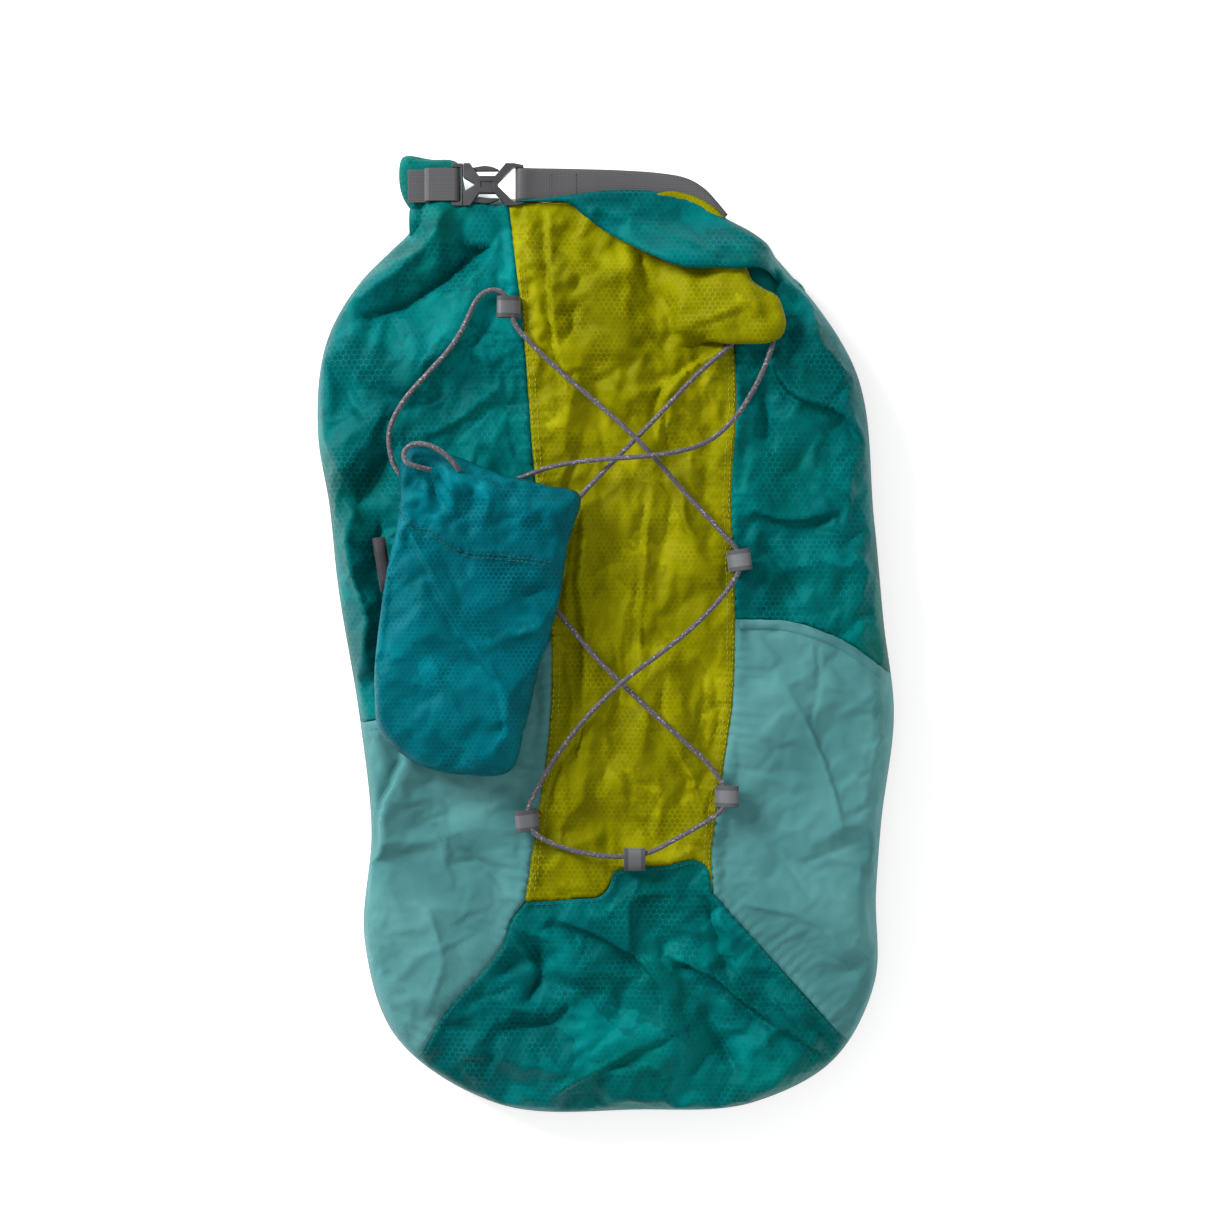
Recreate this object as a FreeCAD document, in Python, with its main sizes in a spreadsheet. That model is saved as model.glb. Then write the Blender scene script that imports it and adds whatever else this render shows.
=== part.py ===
import FreeCAD, Part
import math
import os

# Roll-top packable rucksack lying on its back, with its small stow sack on the front lacing.
# Frame: +X to the right of the lime front panel, +Y towards the roll-top, +Z up.
# Origin: centre of the bounding box in X and Y, at the floor under the shoulder straps.
# All lengths are in millimetres.

V = FreeCAD.Vector
doc = FreeCAD.newDocument("rolltop_rucksack")

DIMENSIONS = {
    "cloth": (1.2, "thickness of one cloth panel"),
    "layer_gap": (0.3, "gap between two cloth layers"),
    "overlay": (1.5, "thickness of a sewn-on pocket or fold"),
    "bag_low": (6.3, "underside of the back panel"),
    "bag_wide": (16.0, "height where the bag is widest"),
    "bag_round": (31.0, "height where the sides start to roll over"),
    "bag_top": (46.0, "top of the flat front"),
    "cord_diameter": (3.0, "lacing cord"),
    "cord_height": (51.0, "centre line of the lacing above the floor"),
    "tape_width": (13.0, "width of a lacing loop"),
    "tape": (1.0, "thickness of the loop tape"),
    "loop_reach": (13.5, "how far a loop stands out of its seam"),
    "webbing_width": (20.0, "closure and shoulder webbing"),
    "webbing": (1.5, "thickness of one layer of webbing"),
    "strap_line": (275.0, "Y of the closure strap's centre line"),
    "strap_level": (28.0, "Z of the closure strap's centre line"),
    "mouth_x": (-87.6, "X of the buckle's mouth"),
    "buckle_thickness": (7.0, "buckle, through its plates"),
    "buckle_cavity": (4.0, "height of the tunnel for the prongs"),
    "prong_thickness": (3.6, "prong height, inside the tunnel"),
    "sack_low": (55.8, "underside of the stow sack"),
    "sack_wide": (63.0, "height where the stow sack is widest"),
    "sack_top": (76.0, "top of the stow sack"),
    "strap_pad": (5.0, "thickness of a shoulder strap"),
    "collar_low": (7.0, "underside of the roll"),
    "collar_high": (29.5, "top of the roll"),
}

sheet = doc.addObject("Spreadsheet::Sheet", "Dimensions")
for row, (alias, (value, meaning)) in enumerate(DIMENSIONS.items(), start=1):
    sheet.set(f"A{row}", meaning)
    sheet.set(f"B{row}", str(value))
    sheet.setAlias(f"B{row}", alias)
doc.recompute()

nodes = []


def dim(alias):
    return float(getattr(sheet, alias))


def bind(obj, **expressions):
    for prop, expression in expressions.items():
        obj.setExpression(prop, expression)


def keep(obj, at=(0, 0, 0), turn=0.0, axis=(0, 0, 1)):
    """Place a finished sub-part and put it on the list of nodes."""
    obj.Placement = FreeCAD.Placement(V(*at), FreeCAD.Rotation(V(*axis), turn))
    nodes.append(obj)
    return obj


def shape_node(label, shape):
    feature = doc.addObject("Part::Feature", label)
    feature.Shape = shape
    return keep(feature)


# ---------------------------------------------------------------- sketch helpers

def polygon(points):
    corners = [V(x, y, 0) for x, y in points]
    return [Part.LineSegment(a, b) for a, b in zip(corners, corners[1:] + corners[:1])]


def circle(x, y, radius):
    return [Part.Circle(V(x, y, 0), V(0, 0, 1), radius)]


def racetrack(x0, x1, radius):
    """Two half circles joined by straight runs, along the sketch's first axis."""
    return [
        Part.LineSegment(V(x0, -radius, 0), V(x1, -radius, 0)),
        Part.Arc(V(x1, -radius, 0), V(x1 + radius, 0, 0), V(x1, radius, 0)),
        Part.LineSegment(V(x1, radius, 0), V(x0, radius, 0)),
        Part.Arc(V(x0, radius, 0), V(x0 - radius, 0, 0), V(x0, -radius, 0)),
    ]


def smooth_outline(points):
    curve = Part.BSplineCurve()
    curve.interpolate([V(x, y, 0) for x, y in points], PeriodicFlag=True)
    return [curve]


def new_body(label):
    return doc.addObject("PartDesign::Body", label)


def add_sketch(body, role, curves):
    sketch = body.newObject("Sketcher::SketchObject", body.Name + "_sketch")
    plane = next(p for p in body.Origin.OriginFeatures if p.Role == role)
    sketch.AttachmentSupport = [(plane, "")]
    sketch.MapMode = "FlatFace"
    sketch.addGeometry(curves, False)
    return sketch


def add_pad(body, role, curves, length, both_ways=True):
    pad = body.newObject("PartDesign::Pad", body.Name + "_pad")
    pad.Profile = add_sketch(body, role, curves)
    pad.SideType = "Symmetric" if both_ways else "One side"
    bind(pad, Length=length)
    doc.recompute()
    return pad


def add_pocket(body, role, curves, length, offset=0.0, both_ways=True, flip=False):
    """Cut a pocket and make sure that it took something away."""
    volume = body.Shape.Volume
    sketch = add_sketch(body, role, curves)
    sketch.AttachmentOffset = FreeCAD.Placement(V(0, 0, offset), FreeCAD.Rotation())
    pocket = body.newObject("PartDesign::Pocket", body.Name + "_pocket")
    pocket.Profile = sketch
    pocket.SideType = "Symmetric" if both_ways else "One side"
    pocket.Reversed = flip
    bind(pocket, Length=length)
    doc.recompute()
    if body.Shape.Volume > volume - 0.01:
        raise RuntimeError(f"a pocket in {body.Label} cuts nothing")
    return pocket


# ---------------------------------------------------------------- the bag's envelope

BAG_OUTLINE = [
    (0, 240), (-70, 240.5), (-120, 237), (-150, 219), (-170, 187), (-178, 124), (-171, 80),
    (-166, 33), (-152, -53), (-145, -120), (-149, -190), (-132, -245), (-71, -288),
    (20, -293), (92, -288), (140, -262), (165, -215), (166, -160), (169, -118), (177, -45),
    (171, 5), (165, 69), (151, 168), (129, 203), (100, 234), (60, 240.5),
]
BAG_CENTRE = (0, -26)
BAG_HALF = (172, 267)
# (inset from the widest outline, which height in the sheet)
BAG_LEVELS = [(9, "bag_low"), (0, "bag_wide"), (5, "bag_round"), (25, "bag_top")]


def scaled_outline(points, centre, half, inset, height):
    """The outline drawn in towards its centre by about the inset, at one height."""
    kx = 1 - inset / half[0]
    ky = 1 - inset / half[1]
    curve = Part.BSplineCurve()
    curve.interpolate(
        [V(centre[0] + (x - centre[0]) * kx, centre[1] + (y - centre[1]) * ky, height)
         for x, y in points],
        PeriodicFlag=True)
    return Part.Wire([curve.toShape()])


def bag_envelope(grow):
    """The bag's outer form, a soft-edged slab, grown or shrunk by a cloth thickness."""
    low, wide, rounding, top = [dim(name) for _, name in BAG_LEVELS]
    middle = (low + top) / 2
    wires = []
    for (inset, _), height in zip(BAG_LEVELS, (low, wide, rounding, top)):
        lift = grow * max(-1.0, min(1.0, (height - middle) / (top - middle)))
        wires.append(scaled_outline(BAG_OUTLINE, BAG_CENTRE, BAG_HALF, inset - grow, height + lift))
    return Part.makeLoft(wires, True, False)


def column(points, low=-5.0, high=120.0):
    """A tall prism over a plan region."""
    corners = [V(x, y, low) for x, y in points]
    face = Part.Face(Part.makePolygon(corners + corners[:1]))
    return face.extrude(V(0, 0, high - low))


# Plan lines of the seams, from the roll-top down.
LEFT_SEAM = [(-60, 262), (-57, 239), (-52, 200), (-48, 154), (-45, 112), (-38, 50), (-33.6, -3),
             (-34.5, -52), (-43, -118), (-49.4, -162.7)]
RIGHT_SEAM = [(70, 262), (74, 220), (77, 180), (79, 142), (76, 94), (78, 9), (76.7, -40),
              (70, -88), (64, -131), (64, -156.6)]
LEFT_FOOT_SEAM = [(-49.4, -162.7), (-61.5, -185), (-101, -234), (-116, -262), (-140, -310)]
RIGHT_FOOT_SEAM = [(64, -156.6), (100, -196), (147.6, -249), (185, -290)]
LEFT_HEM = [(-200, -58), (-150, -54), (-115, -46), (-70, -25), (-33.6, -3)]
RIGHT_HEM = [(78, 9), (111, 7.6), (147.6, -6), (172, -23), (200, -36)]

outer = bag_envelope(0)
inner = bag_envelope(-dim("cloth"))
shell = outer.cut(inner)
back_line = Part.makeBox(500, 700, dim("bag_wide"), V(-250, -350, 0))
front_shell = shell.cut(back_line)

front_region = LEFT_SEAM + RIGHT_SEAM[::-1]
left_region = [(-200, 262)] + LEFT_SEAM + LEFT_FOOT_SEAM[1:] + [(-200, -310)]
right_region = [(200, 262)] + RIGHT_SEAM + RIGHT_FOOT_SEAM[1:] + [(200, -290)]
foot_region = LEFT_FOOT_SEAM + [(-140, -320), (185, -320)] + RIGHT_FOOT_SEAM[::-1]

shape_node("back_panel", shell.common(back_line))
shape_node("front_centre_panel", front_shell.common(column(front_region)))
shape_node("front_left_panel", front_shell.common(column(left_region)))
shape_node("front_right_panel", front_shell.common(column(right_region)))
shape_node("bottom_panel", front_shell.common(column(foot_region)))


# ---------------------------------------------------------------- pockets and folds on the front

def overlay_shell(low, high):
    return bag_envelope(high).cut(bag_envelope(low)).cut(back_line)


pocket_layer = overlay_shell(dim("layer_gap"), dim("layer_gap") + dim("overlay"))
fold_layer = overlay_shell(dim("layer_gap"), dim("layer_gap") + 2 * dim("overlay"))
HEM_WIDTH = 7.0


def lowered(points, drop):
    return [(x, y - drop) for x, y in points]


def add_pocket_and_hem(side, hem, seam, foot, far_x):
    """A stretch pocket below its mouth, with a bound hem along the mouth."""
    seam_part = [p for p in seam if p[1] < hem[-1 if far_x < 0 else 0][1] - HEM_WIDTH - 1]
    inner_edge = seam_part + foot[1:]
    mouth = hem if far_x < 0 else hem[::-1]
    below = lowered(mouth, HEM_WIDTH)
    pocket_region = below + inner_edge + [(far_x, foot[-1][1])]
    hem_region = mouth + below[::-1]
    shape_node(f"{side}_stretch_pocket", pocket_layer.common(column(pocket_region)))
    shape_node(f"{side}_pocket_hem", pocket_layer.common(column(hem_region)))


add_pocket_and_hem("left", LEFT_HEM, LEFT_SEAM, LEFT_FOOT_SEAM, -200)
add_pocket_and_hem("right", RIGHT_HEM, RIGHT_SEAM, RIGHT_FOOT_SEAM, 200)

HINGE_LINE = 239.0
SHOULDER_FOLD = [(10, HINGE_LINE), (41, 223), (69, 213), (112, 211), (140, 211), (140, HINGE_LINE)]
shape_node("right_shoulder_fold", fold_layer.common(column(SHOULDER_FOLD)))

# The lime gusset bulges over the right seam, above the loop and the cord that it hides.
gusset = new_body("lime_gusset_fold")
GUSSET_OUTLINE = [(66, 209), (103, 207), (109, 197), (108, 181), (98, 176), (78, 175), (66, 190)]
add_pad(gusset, "XY_Plane", smooth_outline(GUSSET_OUTLINE), "Dimensions.overlay * 2", False)
keep(gusset, at=(0, 0, dim("cord_height") + 3.6))

tab = new_body("side_tab")
add_pad(tab, "XY_Plane", polygon([(-4, -16.5), (4, -16.5), (4, 16.5), (-4, 16.5)]),
        "Dimensions.cloth", False)
keep(tab, at=(-135.5, 42.5, dim("bag_top") + 0.3), turn=-9)


# ---------------------------------------------------------------- lacing loops

# name: plan place of the seam end, direction in which the loop points, in degrees
CORD_LOOPS = {
    "loop_upper_left": (-52.4, 198, 180),
    "loop_upper_right": (76, 190, 0),
    "loop_middle_left": (-38.5, 38, 180),
    "loop_middle_right": (73.6, 44, 8),
    "loop_lower_left": (-41.5, -112, 186),
    "loop_lower_right": (66, -98, 0),
    "loop_bottom": (17, -143, 90),
}
loop_bore = dim("cord_diameter") / 2 + 0.5
loop_round = loop_bore + dim("tape")
for name, (x, y, direction) in CORD_LOOPS.items():
    loop = new_body(name)
    far = dim("loop_reach") - loop_round
    profile = racetrack(loop_round, far, loop_round) + racetrack(loop_round, far, loop_bore)
    add_pad(loop, "XZ_Plane", profile, "Dimensions.tape_width")
    keep(loop, at=(x, y, dim("cord_height")), turn=direction)


# ---------------------------------------------------------------- lacing cord

def tangent_path(points):
    """Straight runs joined by tangent arcs, each as large as its two runs allow."""
    edges = []
    radii = []
    start = points[0]
    for before, corner, after in zip(points, points[1:], points[2:]):
        into = (corner - before).normalize()
        out = (after - corner).normalize()
        turn = into.getAngle(out)
        reach = 0.45 * min((corner - before).Length, (after - corner).Length)
        radii.append(reach / math.tan(turn / 2))
        arc_start = corner - into * reach
        arc_end = corner + out * reach
        bisector = (out - into).normalize()
        middle = corner + bisector * (radii[-1] * (1 / math.cos(turn / 2) - 1))
        edges.append(Part.LineSegment(start, arc_start).toShape())
        edges.append(Part.Arc(arc_start, middle, arc_end).toShape())
        start = arc_end
    edges.append(Part.LineSegment(start, points[-1]).toShape())
    return Part.Wire(edges), radii


def tube_along(points, radius, label=""):
    """A round tube on the route; with a label, its length, volume and radii are printed."""
    path, radii = tangent_path(points)
    heading = points[1] - points[0]
    ring = Part.Wire(Part.Circle(points[0], heading, radius).toShape())
    tube = path.makePipeShell([ring], True, False)
    if label:
        expected = math.pi * radius ** 2 * path.Length
        print(f"{label}: length {path.Length:.0f}, volume/expected {tube.Volume / expected:.4f}")
        print("  radii " + " ".join(f"{r:.0f}" for r in radii))
    return tube


def cord_tube(label, points):
    return shape_node(label, tube_along(points, dim("cord_diameter") / 2, label))


BASE = dim("cord_height")
OVER = 5.0   # one strand lying over another
TWICE = 9.0  # the strand that lies over two
# Plan route of the lacing from the lock round the seven loops and back, with the rise at crossings.
LACING_ROUTE = [
    (-92.6, 88, 0), (-106, 88.2, 0), (-119, 91, 0), (-128, 100, 0), (-132, 114, 0), (-131, 127, 0),
    (-122, 143, 0), (-107, 159, 0), (-94, 173, 0), (-84.5, 189, 0), (-79, 203, 0), (-70.5, 209, 0),
    (-61.5, 206.5, 0), (-58.2, 198, 0), (-56.5, 188, 0), (-46, 176, 0), (-28.8, 159.5, 0),
    (-8, 142, 0.4), (11, 125, OVER), (26, 110, OVER), (41, 93, 0), (54, 78.5, 0), (69, 62.5, 0),
    (79, 52, 0), (82, 43, 0), (77.5, 33, 0), (68, 20, 0), (50.6, 2.7, 0), (32, -12, 0.4),
    (15, -24, OVER), (0, -37, OVER), (-15, -53, 0), (-31, -74, 0), (-42, -93, 0), (-47.5, -105, 0),
    (-48.5, -114, 0), (-42.5, -121.5, 0), (-31, -127.5, 0), (-11, -133, 0), (8, -134.5, 0),
    (25, -133, 0), (42, -123.5, 0), (60, -113.5, 0), (70, -106.5, 0), (74, -98, 0), (70, -89, 0),
    (60.5, -76.5, 0), (42, -60, 0), (22, -42, 0), (-4, -17, 0), (-19, 1, 0), (-33, 18, 0),
    (-42, 28, 0), (-45, 38, 0), (-41, 50, 0), (-30, 66, 0), (-14, 86, 0), (6, 106.5, 0), (32, 133, 0),
    (57, 160, 0), (75, 174, 0), (81, 184, 0), (82.5, 194, 0), (85, 202, 0), (91, 207, 0), (99, 206, 0),
    (103.5, 199.5, 0), (103.5, 189, 0), (99.5, 171, 0), (90, 149, 0), (77, 129, 0.5), (60, 114.5, 3),
    (37, 108.5, TWICE), (15, 106.6, TWICE), (-7, 105.3, OVER), (-23, 103.6, 0), (-37, 100.6, 0),
    (-51, 95, 0), (-64, 90, 0), (-78, 88.4, 0), (-91.4, 88, 0),
]
cord_tube("lacing_cord", [V(x, y, BASE + rise) for x, y, rise in LACING_ROUTE])


# ---------------------------------------------------------------- cord lock

LOCK_PLACE = (-92, 90, dim("cord_height"))
LOCK_SIZE = (14.0, 16.0, 7.4)
CROSS_Y = -2.0       # the cord hole, from the lock's centre
PLUNGER_RADIUS = 2.5
PLUNGER_END = 1.5    # inner end of the plunger at rest
BORE_END = 6.5
BUTTON_TRAVEL = 3.0

lock = new_body("cord_lock_body")
add_pad(lock, "XY_Plane", polygon([(-5, -8), (5, -8), (7, -5), (7, 5), (4, 8), (-4, 8), (-7, 5), (-7, -5)]),
        str(LOCK_SIZE[2]))
add_pocket(lock, "XZ_Plane", circle(0, 0, PLUNGER_RADIUS + 0.2), str(BORE_END + 8), offset=8,
           both_ways=False)
add_pocket(lock, "YZ_Plane", circle(CROSS_Y, 0, 1.9), "20")
keep(lock, at=LOCK_PLACE)

button = new_body("cord_lock_button")
add_pad(button, "XZ_Plane", circle(0, 0, PLUNGER_RADIUS), str(PLUNGER_END + 11.5), False)
button_pad = button.Tip
button_pad.Profile[0].AttachmentOffset = FreeCAD.Placement(V(0, 0, -PLUNGER_END), FreeCAD.Rotation())
doc.recompute()
head = button.newObject("PartDesign::AdditiveBox", "button_head")
head.Length = 11
head.Width = 4
head.Height = 6.4
head.Placement = FreeCAD.Placement(V(-5.5, -15.5, -3.2), FreeCAD.Rotation())
doc.recompute()
add_pocket(button, "YZ_Plane", racetrack(CROSS_Y - BUTTON_TRAVEL, CROSS_Y, 1.7), "20")
keep(button, at=LOCK_PLACE)

SPRING_TURNS = 4
POINTS_PER_TURN = 8
SPRING_RADIUS = 2.0
WIRE_RADIUS = 0.25
spring_points = []
for step in range(SPRING_TURNS * POINTS_PER_TURN + 1):
    angle = 2 * math.pi * step / POINTS_PER_TURN
    rise = step / (SPRING_TURNS * POINTS_PER_TURN) * (BORE_END - PLUNGER_END - 0.7)
    spring_points.append(V(SPRING_RADIUS * math.cos(angle), rise, SPRING_RADIUS * math.sin(angle)))
spring = shape_node("cord_lock_spring", tube_along(spring_points, WIRE_RADIUS))
spring.Placement.Base = V(LOCK_PLACE[0], LOCK_PLACE[1] + PLUNGER_END + 0.35, LOCK_PLACE[2])


# ---------------------------------------------------------------- stow sack

SACK_OUTLINE = [
    (-118, 113), (-95, 108), (-64, 97), (-38, 90), (-17, 84), (-22, 60), (-31, 12), (-40, -20),
    (-50, -58), (-58, -81), (-84, -84), (-118, -74), (-136, -56), (-139, -36), (-134, 24), (-125, 72),
]
SACK_CENTRE = (-80, 12)
SACK_HALF = (58, 95)
SACK_LEVELS = [(7, "sack_low"), (0, "sack_wide"), (20, "sack_top")]
CHANNEL_LINE = [(-200, 90), (-122, 67), (-102, 59), (-88, 50), (-30, 43), (60, 36)]

sack_form = Part.makeLoft(
    [scaled_outline(SACK_OUTLINE, SACK_CENTRE, SACK_HALF, inset, dim(level))
     for inset, level in SACK_LEVELS], True, False)
above_channel = CHANNEL_LINE + [(60, 160), (-200, 160)]
below_channel = CHANNEL_LINE + [(60, -160), (-200, -160)]
shape_node("stow_sack_channel", sack_form.common(column(above_channel)))
shape_node("stow_sack_body", sack_form.common(column(below_channel)))

# The sack's own draw cord stands out of its gathered mouth in a small loop.
DRAW_CORD_ROUTE = [
    (-88, 98, 75.5), (-92, 104, 75), (-99, 110, 74.4), (-108, 114, 73.6), (-116.5, 114, 73),
    (-121.5, 109, 73.4), (-120, 103, 75), (-113, 100, 76.6), (-104, 98.5, 77),
]
cord_tube("sack_draw_cord", [V(*point) for point in DRAW_CORD_ROUTE])


# ---------------------------------------------------------------- roll-top collar

collar_height = "Dimensions.collar_high - Dimensions.collar_low"


def rounded_slab(label, corners, height, radius):
    slab = new_body(label)
    pad = add_pad(slab, "XY_Plane", polygon(corners), height, False)
    edges = [f"Edge{i}" for i, e in enumerate(pad.Shape.Edges, start=1)
             if abs(e.tangentAt(e.FirstParameter).z) < 0.1 and abs(e.tangentAt(e.FirstParameter).x) > 0.9]
    fillet = slab.newObject("PartDesign::Fillet", label + "_fillet")
    fillet.Base = (pad, edges)
    fillet.Radius = radius
    doc.recompute()
    return slab


ROLL_SPAN = (-122, 76)
roll_low = dim("collar_low")
roll = rounded_slab(
    "collar_roll", [(ROLL_SPAN[0], 243), (ROLL_SPAN[1], 243), (ROLL_SPAN[1], 262), (ROLL_SPAN[0], 262)],
    collar_height, 7)
STIFFENER = (170.0, 13.0, 1.2)
hollow = roll.newObject("PartDesign::SubtractiveBox", "stiffener_space")
hollow.Length = STIFFENER[0] + 0.6
hollow.Width = STIFFENER[1] + 0.6
hollow.Height = STIFFENER[2] + 0.6
hollow.Placement = FreeCAD.Placement(V(-108.3, 245.7, 10.7), FreeCAD.Rotation())
doc.recompute()
keep(roll, at=(0, 0, roll_low))

stiffener = doc.addObject("Part::Box", "collar_stiffener")
stiffener.Length, stiffener.Width, stiffener.Height = STIFFENER
keep(stiffener, at=(-108, 246, roll_low + 11))

left_end = rounded_slab(
    "collar_left_end", [(-128, 262), (-90, 262), (-89.5, 291), (-126, 294.1)],
    "22 - Dimensions.collar_low", 4)
keep(left_end, at=(0, 0, roll_low))

right_end = rounded_slab(
    "collar_right_end", [(44, 262), (76, 262), (72, 278), (48, 284)],
    "Dimensions.strap_level - Dimensions.webbing / 2 - Dimensions.collar_low", 4)
keep(right_end, at=(0, 0, roll_low))

anchor = doc.addObject("Part::Box", "strap_left_anchor")
anchor.Length = 24
bind(anchor, Width="Dimensions.webbing_width", Height="Dimensions.webbing")
keep(anchor, at=(-122, dim("strap_line") - dim("webbing_width") / 2, 22))


# ---------------------------------------------------------------- side-release buckle

# Local frame of both halves: the origin is the centre of the female half's mouth and +X points
# into it. The outline is an X: two arms hold the prongs and two carry the webbing bar.
BUCKLE_PLACE = (dim("mouth_x"), dim("strap_line"), dim("strap_level"))
HALF_WIDTH = 13.0
TUNNEL_HALF = 11.0
BAR_HALF = 10.4
BAR_X = 35.2
MALE_BAR_X = -5.9
FRONT_GAP = 0.3


def mirrored(points):
    return points + [(x, -y) for x, y in reversed(points)]


female = new_body("buckle_female")
X_FRAME = mirrored([(6.5, 0.6), (0, 4.5), (0, HALF_WIDTH), (4, HALF_WIDTH), (9.5, 5.2), (19.5, 5.2),
                    (26, HALF_WIDTH), (31, HALF_WIDTH), (36.7, 11.8)])
add_pad(female, "XY_Plane", polygon(X_FRAME), "Dimensions.buckle_thickness")
WEBBING_WINDOW = mirrored([(21, 1), (30.5, BAR_HALF), (33.7, BAR_HALF)])
add_pocket(female, "XY_Plane", polygon(WEBBING_WINDOW), "20")
CAVITY_HALF = dim("buckle_cavity") / 2
add_pocket(female, "YZ_Plane", polygon([(-TUNNEL_HALF, -CAVITY_HALF), (TUNNEL_HALF, -CAVITY_HALF),
                                        (TUNNEL_HALF, CAVITY_HALF), (-TUNNEL_HALF, CAVITY_HALF)]),
           "24", both_ways=False, flip=True)
bar_cut = mirrored([(33.2, BAR_HALF), (38, BAR_HALF)])
for side in (1, -1):
    add_pocket(female, "XY_Plane", polygon(bar_cut), "5", offset=side * (1.5 + 2.5))
add_pocket(female, "XY_Plane", polygon(mirrored([(10.5, 1.8), (18.5, 1.8)])), "1.2", offset=3.5)
keep(female, at=BUCKLE_PLACE)

male = new_body("buckle_male")
add_pad(male, "XY_Plane", polygon(mirrored([(-7.4, HALF_WIDTH - 1), (-6.4, HALF_WIDTH),
                                            (-FRONT_GAP, HALF_WIDTH)])), "5")
add_pocket(male, "XY_Plane", polygon(mirrored([(-4.4, BAR_HALF), (-1.7, BAR_HALF)])), "20")
for side in (1, -1):
    add_pocket(male, "XY_Plane", polygon(mirrored([(-8, BAR_HALF), (-4, BAR_HALF)])), "3",
               offset=side * (1.5 + 1.5))
keep(male, at=BUCKLE_PLACE)

# The outer side rises in a sloped catch, so that the prong closes in as fast as it is drawn out.
PRONG_OUTLINE = [(0.3, 8.0), (0.3, 10.6), (6.5, 10.6), (9, 11.1), (13, 11.7), (17, 11.2), (21.5, 9.4),
                 (22, 8.2)]
for name, side in (("buckle_prong_upper", 1), ("buckle_prong_lower", -1)):
    prong = new_body(name)
    outline = [(x, side * y) for x, y in PRONG_OUTLINE]
    add_pad(prong, "XY_Plane", polygon(outline), "Dimensions.prong_thickness")
    keep(prong, at=BUCKLE_PLACE)

# ---------------------------------------------------------------- closure webbing

WRAP_INNER = 2.3
WRAP_OUTER = WRAP_INNER + 1.3
STRAP_END = 76.0     # right end of the long strap
TAIL_END = -17.0     # end of the sewn-back tail, under the strap

loop_left = new_body("strap_left_loop")
loop_far = -20.4
add_pad(loop_left, "XZ_Plane", racetrack(loop_far, MALE_BAR_X, WRAP_OUTER)
        + racetrack(loop_far, MALE_BAR_X, WRAP_INNER), "Dimensions.webbing_width")
keep(loop_left, at=BUCKLE_PLACE)

strap = new_body("closure_strap")
half = dim("webbing") / 2
lean = math.asin(half / WRAP_OUTER)
start_x = BAR_X + WRAP_OUTER * math.cos(lean)
tail_lean = math.asin(3 * half / WRAP_OUTER)
tail_x = BAR_X + WRAP_OUTER * math.cos(tail_lean)
end_x = STRAP_END - dim("mouth_x")
tail_far = TAIL_END - dim("mouth_x")
strap_profile = [
    Part.LineSegment(V(start_x, half, 0), V(end_x, half, 0)),
    Part.LineSegment(V(end_x, half, 0), V(end_x, -half, 0)),
    Part.LineSegment(V(end_x, -half, 0), V(tail_far, -half, 0)),
    Part.LineSegment(V(tail_far, -half, 0), V(tail_far, -3 * half, 0)),
    Part.LineSegment(V(tail_far, -3 * half, 0), V(tail_x, -3 * half, 0)),
    Part.Arc(V(tail_x, -3 * half, 0), V(BAR_X - WRAP_OUTER, 0, 0), V(start_x, half, 0)),
]
add_pad(strap, "XZ_Plane", strap_profile + circle(BAR_X, 0, WRAP_INNER), "Dimensions.webbing_width")
keep(strap, at=BUCKLE_PLACE)


# ---------------------------------------------------------------- harness under the back panel

STRAP_HALF_OUTLINE = [
    (28, 222), (58, 224), (80, 212), (98, 160), (108, 90), (106, 20), (100, -35), (84, -50), (66, -40),
    (62, 20), (60, 90), (48, 150), (30, 195),
]
LADDER_PLACE = (85, -62)
LADDER_HEIGHT = 4.6

for side, sign in (("left", -1), ("right", 1)):
    pad_body = new_body(f"shoulder_strap_{side}")
    outline = [(sign * x, y) for x, y in STRAP_HALF_OUTLINE]
    add_pad(pad_body, "XY_Plane", smooth_outline(outline), "Dimensions.strap_pad", False)
    keep(pad_body)

    # A ladder lock: an open frame with three bars, the lower webbing under its middle bar.
    ladder = new_body(f"ladder_lock_{side}")
    add_pad(ladder, "XY_Plane", polygon([(-14, -10), (14, -10), (14, 10), (-14, 10)]), str(LADDER_HEIGHT))
    for low, high in ((-7, -2.5), (1.5, 6.5)):
        add_pocket(ladder, "XY_Plane", polygon([(-10.6, low), (10.6, low), (10.6, high), (-10.6, high)]),
                   "20")
    keep(ladder, at=(sign * LADDER_PLACE[0], LADDER_PLACE[1], LADDER_HEIGHT / 2))

    # Adjusting webbing from the ladder lock down to the lower corner of the bag.
    web = doc.addObject("Part::Box", f"shoulder_webbing_{side}")
    web.Length = 160
    bind(web, Width="Dimensions.webbing_width", Height="Dimensions.webbing")
    steer = 270 + sign * 14
    across = V(math.cos(math.radians(steer + 90)), math.sin(math.radians(steer + 90)), 0) * 10
    keep(web, at=(sign * LADDER_PLACE[0] - across.x, LADDER_PLACE[1] - 13 - across.y, 2.2), turn=steer)

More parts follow.
